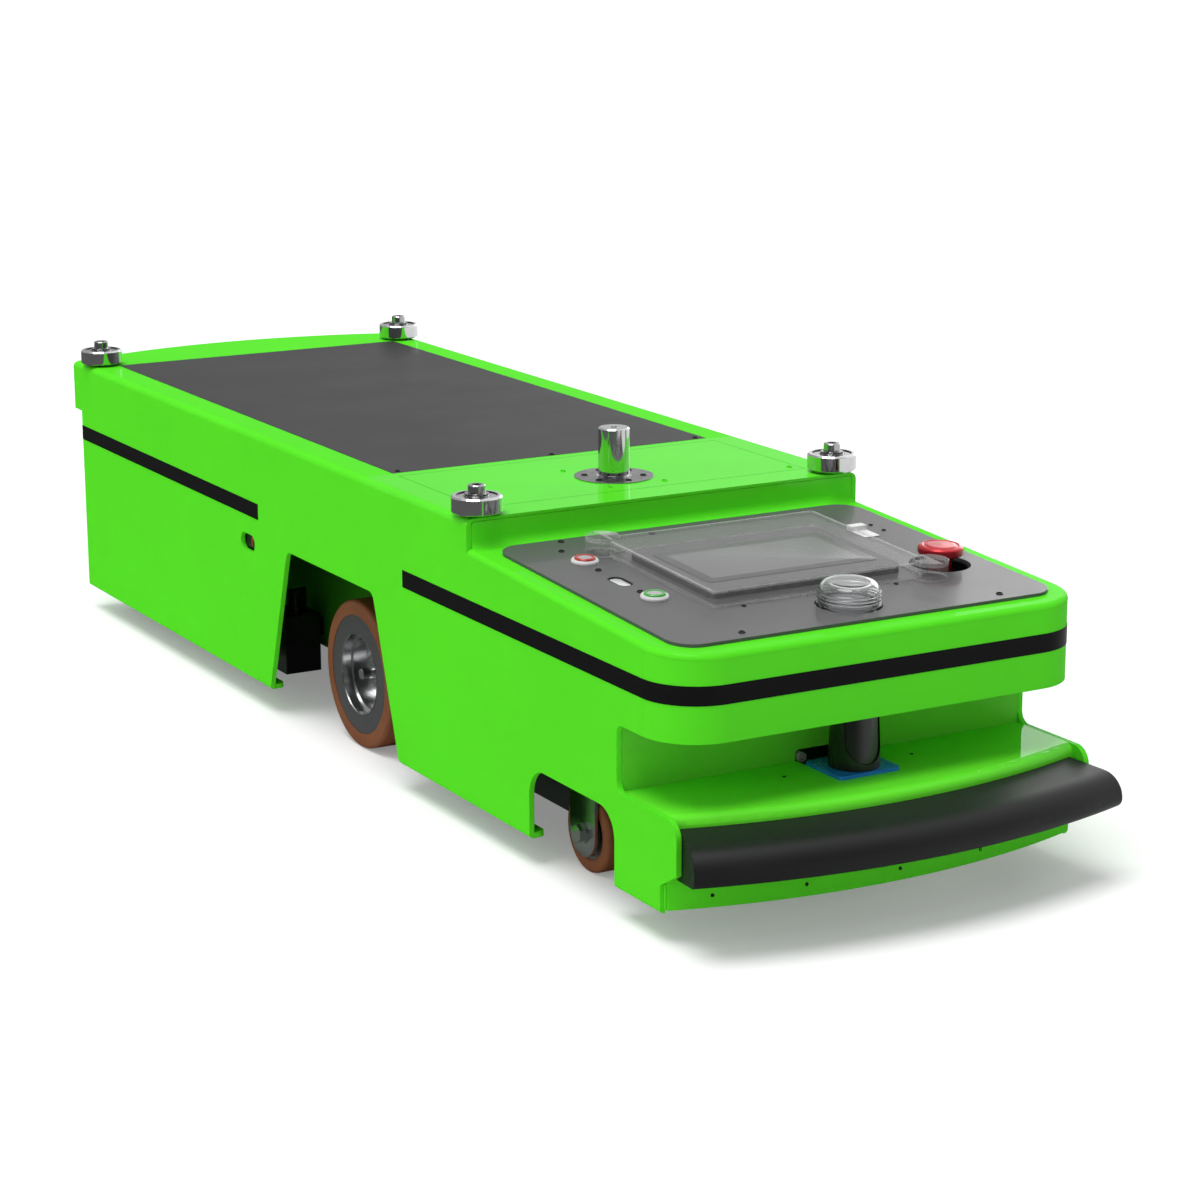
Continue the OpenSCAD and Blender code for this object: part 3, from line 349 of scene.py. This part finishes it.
def tyreBrown(name, centre, hub=None):
    finish = Finish(name, {"Specular IOR Level": 0.15})
    cloud = finish.noise(22.0, 4.0, 0.6)
    speck = finish.noise(420.0, 3.0, 0.6)
    tone = finish.blend(cloud.ramp(0.3, 0.7), (0.190, 0.066, 0.026, 1), (0.240, 0.086, 0.036, 1))
    roughness = cloud.ramp(0.25, 0.75, 0.40, 0.52)
    if hub:  # steel middle of a castor wheel
        y, z = finish.axes(finish.place(centre))[1:]
        inside = y.radius(z).ramp(hub, hub - 0.0006)
        tone = finish.blend(inside, tone, grey(0.33, 0.34))
        finish.feed("Metallic", inside * 0.95)
        roughness = roughness * (1 - inside) + inside * 0.28
    finish.feed("Base Color", tone)
    finish.feed("Roughness", roughness)
    finish.feed("Normal", finish.bump(speck, 0.10, 0.0004, finish.soft(0.0015)))
    return finish.material


def buttonCap(name, ring, centre, cap):  # coloured ring round a pale middle
    finish = Finish(name, {"Specular IOR Level": 0.5})
    x, y = finish.axes(finish.place(centre, noseTurn))[:2]
    cloud = finish.noise(120.0, 2.0)
    pale = x.radius(y).ramp(cap, cap - 0.0006)
    tone = finish.blend(cloud.ramp(0.3, 0.7), shade(ring, 0.85), ring)
    finish.feed("Base Color", finish.blend(pale, tone, grey(0.38)))
    finish.feed("Roughness", cloud.ramp(0.3, 0.7, 0.22, 0.32))
    finish.feed("Normal", finish.bump(cloud, 0.03, 0.0003, finish.soft(0.0004)))
    return finish.material


def screenBezel():  # grey face; walls a little darker, painted shade
    finish = Finish("screenBezel", {"Specular IOR Level": 0.1})
    # painted shade on the walls, which face sideways
    shadedWalls = finish.facingUp().ramp(0.85, 0.55)
    wear(finish, grey(0.092, 0.094), grey(0.14), (0.34, 0.42), (1100.0, 0.08), 0.0004,
         second=(shadedWalls, grey(0.085, 0.087)))
    return finish.material


def stopRed():  # lacquered metal cap; the deeper red down its side is painted shade
    finish = Finish("stopRed", {"Specular IOR Level": 0.4})
    # painted shade on the sideways faces of the cap
    shadedWalls = finish.facingUp().ramp(0.75, 0.30)
    cloud = wear(finish, (0.54, 0.022, 0.032, 1), (0.60, 0.12, 0.12, 1), (0.18, 0.26), (1400.0, 0.06), 0.0004,
                 second=(shadedWalls, (0.30, 0.012, 0.018, 1)))[0]
    finish.feed("Metallic", cloud.ramp(0.3, 0.7, 0.36, 0.44))
    return finish.material


reflector = {"radius": 0.031, "blur": 0.001}


def panelWhite():  # white inserts, with a bright reflector under the lamp
    finish = Finish("panelWhite", {"Specular IOR Level": 0.5})
    x, y = finish.axes(finish.place(middle("lamp_dome")))[:2]
    lamp = x.radius(y).ramp(reflector["radius"], reflector["radius"] - reflector["blur"])
    cloud = wear(finish, grey(0.74), grey(0.85), (0.25, 0.34), (1400.0, 0.06), 0.0004,
                 second=(lamp, grey(0.32, 0.33)))[0]
    finish.feed("Metallic", lamp * cloud.ramp(0.3, 0.7, 0.8, 0.7))
    return finish.material


eye = {"half": (0.0022, 0.0028), "tall": (0.0040, 0.0048)}


def sensorEye():  # red lens; the black round it is painted shade from the slot's walls
    finish = Finish("sensorEye", {"Specular IOR Level": 0.3})
    y, z = finish.axes(finish.place(middle("side_sensors")))[1:]
    # painted shade: black outside the lens's red middle
    rim = (abs(y).ramp(*eye["half"]) + abs(z).ramp(*eye["tall"])).least(1.0)
    wear(finish, (0.42, 0.020, 0.020, 1), (0.5, 0.1, 0.1, 1), (0.30, 0.38), (1400.0, 0.06), 0.0004,
         second=(rim, grey(0.010)))
    return finish.material


# CAD pieces
finishes = {
    "green": paintGreen("greenPaint", (0.098, 0.750, 0.021, 1), 0.11),
    # lighter, redder copy of the green paint: painted light on the shelf
    "shelf": paintGreen("shelfGreenPaintedLight", (0.140, 0.820, 0.032, 1), 0.32),
    # darker copy of the green paint: painted shade in the recess under the nose
    "recess": paintGreen("recessGreenPaintedShade", (0.132, 0.650, 0.036, 1), 0.14),
    # much darker copy of the green paint: painted shade inside the wheel bays
    "bay": paintGreen("bayGreenPaintedShade", (0.030, 0.200, 0.009, 1), 0.10),
    "tape": paintTape(),
    "foam": bumperFoam(),
    "cover": greyPlate("coverGrey", 0.052, 0.02, 0.04),
    "panel": greyPlate("panelGrey", 0.098, 0.10, 0.20),
    "bright": chrome("brightSteel", grey(0.62, 0.63), 0.05),
    "bolt": chrome("boltSteel", grey(0.46, 0.47), 0.12),
    "fork": chrome("forkChrome", grey(0.50, 0.51), 0.14),
    "satin": chrome("satinSteel", grey(0.34, 0.35), 0.26),
    "lid": clearLid(),
    "lamp": lampGlass(),
    "red": stopRed(),
    "sensor": sensorEye(),
    "black": plastic("blackPlastic", grey(0.007, 0.008), grey(0.03), (0.20, 0.30), shine=0.3),
    "scanner": scannerBlack(),
    "white": panelWhite(),
    "lens": plastic("lensWhite", grey(0.70), grey(0.8), (0.22, 0.30)),
    "plug": plastic("plugGrey", grey(0.27, 0.28), grey(0.6), (0.30, 0.38)),
    "blue": plastic("blueAnodised", (0.016, 0.21, 0.76, 1), (0.10, 0.38, 0.85, 1), (0.26, 0.34)),
    "blackSteel": plastic("blackSteel", grey(0.016, 0.018), grey(0.10), (0.34, 0.44), (300.0, 0.12)),
    "battery": plastic("batteryCase", grey(0.035, 0.04), grey(0.10), (0.40, 0.5), (500.0, 0.2)),
    "motor": plastic("motorGrey", grey(0.22, 0.23), grey(0.5), (0.36, 0.46), (350.0, 0.2)),
    "core": plastic("greyCore", (0.075, 0.076, 0.078, 1), grey(0.14), (0.42, 0.52), (500.0, 0.18), 0.15),
    "bezel": screenBezel(),
}
dressed = {
    "green": ("body_shell", "nose_side_l", "nose_side_r", "rear_lip", "rear_panel", "nose_hood",
              "front_skirt", "pin_plate"),
    "shelf": ("front_shelf",),
    "recess": ("recess_panel",),
    "bay": ("bay_walls",),
    "foam": ("bumper",),
    "cover": ("deck_cover",),
    "panel": ("control_plate",),
    "bright": ("tow_pin",),
    "bolt": ("roller_studs",),
    "fork": ("fork_fl", "fork_fr", "fork_rl", "fork_rr"),
    "satin": ("pin_guide",),
    "lid": ("screen_cover",),
    "lamp": ("lamp_dome",),
    "red": ("stop_button",),
    "sensor": ("side_sensors",),
    "black": ("panel_wells", "ground_reader"),
    "scanner": ("scanner_head",),
    "white": ("panel_fittings",),
    "blue": ("scanner_base",),
    "blackSteel": ("base_frame",),
    "battery": ("battery",),
    "motor": ("drive_units",),
    "core": ("drive_core_l", "drive_core_r"),
    "bezel": ("touch_screen",),
}
buttons = {"cap": 0.0068, "red_button": (0.50, 0.03, 0.03, 1), "green_button": (0.06, 0.42, 0.06, 1)}
wheels = {"castorHub": 0.0252, "driveHub": grey(0.62, 0.63), "driveRough": 0.14}


def dress(material, name):
    mesh = nodes[name].data
    mesh.materials.clear()
    mesh.materials.append(material)


for look, names in dressed.items():
    for name in names:
        dress(finishes[look], name)
for name in ("red_button", "green_button"):
    dress(buttonCap(name.replace("_", ""), buttons[name], middle(name), buttons["cap"]), name)
for side in "lr":
    axle = middle("drive_tyre_" + side)
    dress(tyreBrown("driveTyre_" + side, axle), "drive_tyre_" + side)
    hub = turnedSteel("driveHub_" + side, wheels["driveHub"], axle, wheels["driveRough"])
    dress(hub, "drive_hub_" + side)
for corner in ("fl", "fr", "rl", "rr"):
    castor = "castor_" + corner
    roller = "roller_" + corner
    dress(tyreBrown("castorTyre_" + corner, middle(castor), wheels["castorHub"]), castor)
    dress(bearingSteel("bearing_" + corner, middle(roller)), roller)
print("CAD pieces dressed")


# modelling helpers
nearly = 1e-5  # room for rounding where a pick compares places


def clearPick():
    if bpy.context.object and bpy.context.object.mode != "OBJECT":
        bpy.ops.object.mode_set(mode="OBJECT")
    bpy.ops.object.select_all(action="DESELECT")


def startPick(piece, edges, faces):  # nothing picked yet, edges or faces to follow
    bpy.ops.object.mode_set(mode="OBJECT")
    bpy.context.tool_settings.mesh_select_mode = (False, edges, faces)
    for items in (piece.data.vertices, piece.data.edges, piece.data.polygons):
        for item in items:
            item.select = False


def editFaces(piece, test):  # edit mode with the faces picked that pass the test on centre and normal
    startPick(piece, False, True)
    for face in piece.data.polygons:
        face.select = test(face.center, face.normal)
    bpy.ops.object.mode_set(mode="EDIT")


def editEdges(piece, test):  # edit mode with the edges picked whose two ends pass the test
    startPick(piece, True, False)
    for edge in piece.data.edges:
        a, b = (piece.data.vertices[i].co for i in edge.vertices)
        edge.select = test(a, b)
    bpy.ops.object.mode_set(mode="EDIT")


def extrude(x=0, y=0, z=0):
    bpy.ops.mesh.extrude_region_move(TRANSFORM_OT_translate={"value": (x, y, z)})


def donePiece(piece, name, material, body):
    clearPick()
    piece.select_set(True)
    bpy.context.view_layer.objects.active = piece
    bpy.ops.object.transform_apply(location=True, rotation=True, scale=True)
    bpy.ops.object.shade_smooth_by_angle(angle=math.radians(35))
    piece.name = name
    piece.data.name = name
    piece.data.materials.clear()
    piece.data.materials.append(material)
    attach(piece, body)


def spread(piece, places):  # copies with meshes of their own at each place, joined to one piece
    copies = []
    for place in places:
        copy = piece.copy()
        copy.data = piece.data.copy()
        bpy.context.collection.objects.link(copy)
        copy.matrix_world = place
        copies.append(copy)
    bpy.data.objects.remove(piece)
    clearPick()
    for copy in copies:
        copy.select_set(True)
    bpy.context.view_layer.objects.active = copies[0]
    bpy.ops.object.transform_apply(location=True, rotation=True, scale=True)
    bpy.ops.object.join()
    return bpy.context.object


def roundedPane(size, settings):  # flat block with round corners and a softened top edge
    top = size[2] / 2
    clearPick()
    bpy.ops.mesh.primitive_cube_add(size=1, location=(0, 0, 0))
    pane = bpy.context.object
    pane.scale = size
    bpy.ops.object.transform_apply(scale=True)
    editEdges(pane, lambda a, b: abs(a.z - b.z) > top)
    bpy.ops.mesh.bevel(offset=settings["corner"], segments=settings["steps"])
    editEdges(pane, lambda a, b: min(a.z, b.z) > top - nearly)
    bpy.ops.mesh.bevel(offset=settings["round"], segments=2)
    bpy.ops.object.mode_set(mode="OBJECT")
    pane.matrix_world = onNose(*settings["centre"])
    return pane


# camera
shot = {"place": (-1.4082, -2.6453, 0.8711), "right": (0.86954, -0.49386, -0.00317),
        "up": (0.12106, 0.20693, 0.97084), "back": (-0.47880, -0.84456, 0.23972),
        "length": 90.50, "sensor": 36.0, "shift": (0.0076, -0.0041), "reach": 60}
cameraData = bpy.data.cameras.new("camera")
camera = bpy.data.objects.new("camera", cameraData)
bpy.context.scene.collection.objects.link(camera)
columns = [shot[key] for key in ("right", "up", "back", "place")]
camera.matrix_world = Matrix([[column[i] for column in columns] for i in range(3)] + [[0, 0, 0, 1]])
cameraData.sensor_width = shot["sensor"]
cameraData.lens = shot["length"]
cameraData.shift_x, cameraData.shift_y = shot["shift"]
cameraData.clip_end = shot["reach"]
bpy.context.scene.camera = camera
bpy.context.scene.view_settings.view_transform = "Standard"
print("camera set")


# floor, world and lamps
studio = {"floor": 40, "ground": 0.80, "lift": 0.23, "mirrored": 0.10, "sky": 0.50, "far": (0.49, 0.87),
          "near": 0.12, "lean": 0.35}
lamps = {
    "keySun": {"kind": "SUN", "place": (-0.88, -0.20, 3.88), "aim": (0, 0, 0),
               "settings": {"energy": 2.1, "angle": math.radians(35)}},
    "rimLamp": {"kind": "AREA", "place": (3.55, 2.2, 1.4), "aim": (0.1, -0.5, 0.2),
                "settings": {"energy": 24, "shape": "RECTANGLE", "size": 2.0, "size_y": 1.5}},
}


def farAxes(x, y):  # along the photo's view, and to its right
    a, b = studio["far"]
    return x * a + y * b, x * b - y * a


def paleFloor():
    finish = Finish("paleFloor", {"Roughness": 0.9, "Specular IOR Level": 0.1})
    seen, glossy = finish.rays()
    away, across = farAxes(*finish.axes(finish.place())[:2])
    front = (across + away * 0.5).ramp(0.4, -0.4)  # dimmer where the metal mirrors it
    tone = finish.blend(glossy * front, grey(studio["ground"]), grey(studio["mirrored"]))
    finish.feed("Base Color", tone)
    glow = finish.add("ShaderNodeEmission", None, {"Color": grey(1.0), "Strength": seen * studio["lift"]})
    both = finish.add("ShaderNodeAddShader", None, {0: Value(finish, finish.shader.outputs[0]), 1: glow})
    finish.tree.links.new(both.socket, finish.tree.nodes["Material Output"].inputs["Surface"])
    return finish.material


clearPick()
bpy.ops.mesh.primitive_plane_add(size=studio["floor"], location=(0, 0, 0))
floor = bpy.context.object
floor.name = "floor"
floor.data.materials.append(paleFloor())


def studioWorld():  # white behind, dimmer on the photo's side for what the metal mirrors
    world = bpy.data.worlds.new("studio")
    bpy.context.scene.world = world
    world.use_nodes = True
    sky = Tree(world.node_tree)
    seen, glossy = sky.rays()
    x, y, z = sky.axes(sky.add("ShaderNodeTexCoord", output=0))
    away, across = farAxes(x, y)
    mirrored = away.ramp(-0.35, 0.25, studio["near"], 1.0) * across.ramp(-0.16, 0.16, 0.45, 1.15)
    mirrored = mirrored.most(z.ramp(0.55, 0.9, 0.0, 0.9))
    level = seen + (1 - seen) * (glossy * mirrored + (1 - glossy) * (studio["sky"] - x * studio["lean"]))
    backdrop = sky.tree.nodes["Background"]
    backdrop.inputs["Color"].default_value = grey(1.0)
    sky.tree.links.new(level.socket, backdrop.inputs["Strength"])


def softLamp(name, kind, place, aim, settings):
    data = bpy.data.lights.new(name, kind)
    for key, value in settings.items():
        setattr(data, key, value)
    lamp = bpy.data.objects.new(name, data)
    bpy.context.scene.collection.objects.link(lamp)
    lamp.location = place
    lamp.rotation_euler = (Vector(aim) - Vector(place)).to_track_quat("-Z", "Y").to_euler()
    lamp.visible_camera = False


studioWorld()
for name, lamp in lamps.items():
    softLamp(name, **lamp)
print("studio set")


# black tape along the sides and round the nose
tape = {"low": 0.2028, "high": 0.2194, "thick": 0.00025, "side": 0.210, "rear": (0.162, 0.6745),
        "front": -0.1748, "nose": -0.6655, "corner": 0.050, "steps": 12}


def uprightStrip(x, start, end):  # flat strip along a side
    clearPick()
    bpy.ops.mesh.primitive_plane_add(size=1, location=(0, 0, 0))
    strip = bpy.context.object
    strip.scale = (end - start, tape["high"] - tape["low"], 1)
    strip.rotation_euler = (math.pi / 2, 0, math.pi / 2)
    strip.location = (x, (start + end) / 2, (tape["low"] + tape["high"]) / 2)
    bpy.ops.object.transform_apply(location=True, rotation=True, scale=True)
    return strip


def sideTape():
    low, high = tape["rear"]
    strip = uprightStrip(tape["side"], low, high)
    bpy.ops.object.mode_set(mode="EDIT")
    bpy.ops.mesh.select_all(action="SELECT")
    extrude(x=tape["thick"])
    bpy.ops.mesh.select_all(action="SELECT")
    bpy.ops.mesh.normals_make_consistent(inside=False)
    bpy.ops.object.mode_set(mode="OBJECT")
    otherSide = Matrix.Rotation(math.pi, 4, "Z") @ Matrix.Translation((0, -low - high, 0))
    return spread(strip, [Matrix.Identity(4), otherSide])


def noseTape():  # one upright edge led along the left side, round both nose corners and back
    side = tape["side"]
    turn = tape["nose"] + tape["corner"]
    bend = side - tape["corner"]
    quarter = {"steps": tape["steps"], "angle": -math.pi / 2, "axis": (0, 0, 1)}
    band = uprightStrip(-side, tape["front"], turn)
    editEdges(band, lambda a, b: max(a.y, b.y) < turn + nearly)
    bpy.ops.mesh.spin(center=(-bend, turn, 0), **quarter)
    editEdges(band, lambda a, b: min(a.x, b.x) > -bend - nearly)
    extrude(x=2 * bend)
    editEdges(band, lambda a, b: min(a.x, b.x) > bend - nearly)
    bpy.ops.mesh.spin(center=(bend, turn, 0), **quarter)
    editEdges(band, lambda a, b: min(a.x, b.x) > side - nearly)
    extrude(y=tape["front"] - turn)
    bpy.ops.mesh.select_all(action="SELECT")
    bpy.ops.mesh.remove_doubles(threshold=nearly)
    bpy.ops.mesh.normals_make_consistent(inside=False)
    bpy.ops.object.mode_set(mode="OBJECT")
    thick = band.modifiers.new("thick", "SOLIDIFY")
    thick.thickness = tape["thick"]
    thick.offset = 1.0
    bpy.ops.object.modifier_apply(modifier="thick")
    return band


donePiece(sideTape(), "rearTape", finishes["tape"], "chassis")
donePiece(noseTape(), "noseTape", finishes["tape"], "chassis")
print("tapes laid")


# screws
screws = {
    "cover": {"radius": 0.0030, "height": 0.0010, "socket": 0.0013, "depth": 0.0007},
    "flange": {"radius": 0.0034, "height": 0.0008, "socket": 0.0016, "depth": 0.0006},
    "panel": {"radius": 0.0031, "height": 0.0012, "socket": 0.0014, "depth": 0.0008},
    "tiny": {"radius": 0.0016, "height": 0.0008, "socket": 0.0007, "depth": 0.0005},
    "small": {"radius": 0.0022, "height": 0.0010, "socket": 0.0010, "depth": 0.0006},
}
screwPlaces = {
    "cover": [(-0.1675, -0.0815), (0.1675, -0.0815), (0.0, -0.084)],
    "plate": [(s * x, y) for s in (-1, 1) for x, y in ((0.031, -0.1625), (0.030, -0.250), (0.1675, -0.255))],
    "panel": [(-0.126, -0.023), (-0.141, -0.051), (-0.141, -0.117), (-0.141, -0.189), (-0.1245, -0.325),
              (0.137, -0.325), (-0.037, -0.033)],
    "small": [(0.1636, -0.0925), (0.1646, -0.1122), (-0.083, -0.2625), (0.073, -0.2625)],
    "shelf": [(-0.0657, -0.607), (0.0657, -0.607)],
}
flangeRing = {"radius": 0.028, "first": 30, "count": 6}
skirtRow = {"centre": (0, -0.01575, 0.040), "radius": 0.6648, "angles": (-14.7, -7.5, 0.3, 7.9)}
sunk = {"flat": 0.0002, "nose": 0.0003}


def screwHead(radius, height, socket, depth):
    # round head standing on z = 0, edge bevelled, socket sunk in its top
    clearPick()
    bpy.ops.mesh.primitive_cylinder_add(vertices=24, radius=radius, depth=height, location=(0, 0, height / 2))
    head = bpy.context.object
    bpy.ops.object.transform_apply(location=True)
    editEdges(head, lambda a, b: min(a.z, b.z) > height * 0.9)
    bpy.ops.mesh.bevel(offset=min(height, radius) * 0.3, segments=2)
    editFaces(head, lambda c, n: n.z > 0.9 and c.z > height * 0.9)
    bpy.ops.mesh.inset(thickness=radius * 0.7 - socket)
    extrude(z=-depth)
    bpy.ops.mesh.inset(thickness=socket * 0.45)
    extrude(z=-depth * 0.25)
    bpy.ops.object.mode_set(mode="OBJECT")
    return head


def screwRow(name, kind, places, look="black"):
    head = screwHead(**screws[kind])
    donePiece(spread(head, places), name, finishes[look], "chassis")


def onTop(node, places):  # upright places on a node's top
    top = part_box(node)[1].z - sunk["flat"]
    return [Matrix.Translation((x, y, top)) for x, y in places]


def onPanel(places):
    return [onNose(x, y, noseSheet["plate"] - sunk["nose"]) for x, y in places]


def onFlange():
    radius, count = flangeRing["radius"], flangeRing["count"]
    turns = [math.radians(flangeRing["first"] + 360 / count * i) for i in range(count)]
    y = middle("pin_guide")[1]
    return onTop("pin_guide", [(radius * math.cos(turn), y + radius * math.sin(turn)) for turn in turns])


def onSkirt(angle):  # looking out of the curved skirt
    turned = Matrix.Translation(skirtRow["centre"]) @ Matrix.Rotation(math.radians(angle), 4, "Z")
    return turned @ Matrix.Translation((0, -skirtRow["radius"], 0)) @ Matrix.Rotation(math.pi / 2, 4, "X")


screwRow("coverScrews", "cover", onTop("deck_cover", screwPlaces["cover"]))
screwRow("plateScrews", "cover", onTop("pin_plate", screwPlaces["plate"]), "green")
screwRow("flangeScrews", "flange", onFlange())
screwRow("panelScrews", "panel", onPanel(screwPlaces["panel"]))
screwRow("smallScrews", "small", onPanel(screwPlaces["small"]))
screwRow("shelfScrews", "tiny", onTop("front_shelf", screwPlaces["shelf"]))
screwRow("skirtScrews", "tiny", [onSkirt(angle) for angle in skirtRow["angles"]])
print("screws set")


# touch screen glass with its dark border
glass = {"centre": (0.0, -0.165, 0.0105), "size": (0.155, 0.077), "border": 0.010, "thick": 0.0012,
         "corner": 0.004, "steps": 4, "round": 0.0004}


def screenFinish():
    finish = Finish("screenGlass", {"Specular IOR Level": 0.1})
    spot = finish.place(onNose(*glass["centre"]).translation, noseTurn)
    x, y = finish.axes(spot)[:2]
    dust = finish.noise(300.0, 3.0, 0.6)
    film = finish.noise(9.0, 2.0)
    wide, long = (size / 2 for size in glass["size"])
    inside = abs(x).ramp(wide, wide - 0.0006) * abs(y).ramp(long, long - 0.0006)
    grid = finish.add("ShaderNodeTexBrick", {"offset": 0.0},
                      {"Vector": spot, "Color1": grey(1.0), "Color2": grey(1.0), "Mortar": grey(0.9),
                       "Scale": 900.0, "Mortar Size": 0.05, "Brick Width": 1.0, "Row Height": 1.0})
    lit = finish.blend(film.ramp(0.3, 0.7), grey(0.166, 0.168), grey(0.188, 0.190))
    lit = finish.add("ShaderNodeMix", {"data_type": "RGBA", "blend_type": "MULTIPLY"},
                     {0: 1.0, 6: lit, 7: grid}, 2)
    border = finish.blend(dust.ramp(0.55, 0.75) * 0.2, grey(0.084, 0.086), grey(0.12))
    finish.feed("Base Color", finish.blend(inside, border, lit))
    finish.feed("Roughness", dust.ramp(0.3, 0.75, 0.28, 0.38))
    finish.feed("Normal", finish.bump(dust, 0.02, 0.0002))
    return finish.material


def screenGlass():
    wide, long = (size + 2 * glass["border"] for size in glass["size"])
    return roundedPane((wide, long, glass["thick"]), glass)


donePiece(screenGlass(), "screenGlass", screenFinish(), "chassis")
print("screen laid")


# pale lens in the panel's oblong hole
lens = {"centre": (-0.141, -0.155, 0.0011), "size": (0.0116, 0.0264, 0.0016), "corner": 0.0055, "steps": 6,
        "round": 0.0004}
donePiece(roundedPane(lens["size"], lens), "slotLens", finishes["lens"], "chassis")
print("lens set")


# weld beads where the skirt meets the side sheets
weld = {"place": (0.2058, -0.6458), "low": 0.0300, "high": 0.0522, "radius": 0.0013, "round": 0.0006}


def skirtWelds():
    clearPick()
    tall = weld["high"] - weld["low"]
    bpy.ops.mesh.primitive_cylinder_add(vertices=16, radius=weld["radius"], depth=tall)
    bead = bpy.context.object
    editEdges(bead, lambda a, b: abs(a.z - b.z) < nearly)
    bpy.ops.mesh.bevel(offset=weld["round"], segments=2)
    bpy.ops.object.mode_set(mode="OBJECT")
    x, y = weld["place"]
    return spread(bead, [Matrix.Translation((side * x, y, weld["low"] + tall / 2)) for side in (-1, 1)])


donePiece(skirtWelds(), "skirtWelds", finishes["green"], "chassis")
print("welds laid")


# round plug in the cable opening behind the scanner
plug = {"centre": (-0.0285, -0.5745, 0.1153), "radius": 0.0042, "length": 0.0085, "wall": 0.0009,
        "depth": 0.004, "gap": 0.0016, "pin": 0.003, "round": 0.0005}


def scannerPlug():
    clearPick()
    bpy.ops.mesh.primitive_cylinder_add(vertices=32, radius=plug["radius"], depth=plug["length"])
    piece = bpy.context.object
    editFaces(piece, lambda c, n: n.z > 0.9)
    bpy.ops.mesh.inset(thickness=plug["wall"])
    extrude(z=-plug["depth"])
    bpy.ops.mesh.inset(thickness=plug["gap"])
    extrude(z=plug["pin"])
    top = plug["length"] / 2 - nearly
    rim = plug["radius"] - nearly
    editEdges(piece, lambda a, b: min(a.z, b.z) > top and min(a.xy.length, b.xy.length) > rim)
    bpy.ops.mesh.bevel(offset=plug["round"], segments=2)
    bpy.ops.object.mode_set(mode="OBJECT")
    piece.matrix_world = Matrix.Translation(plug["centre"]) @ Matrix.Rotation(math.pi / 2, 4, "X")
    return piece


donePiece(scannerPlug(), "scannerPlug", finishes["plug"], "chassis")
print("plug set")

print("pieces done")
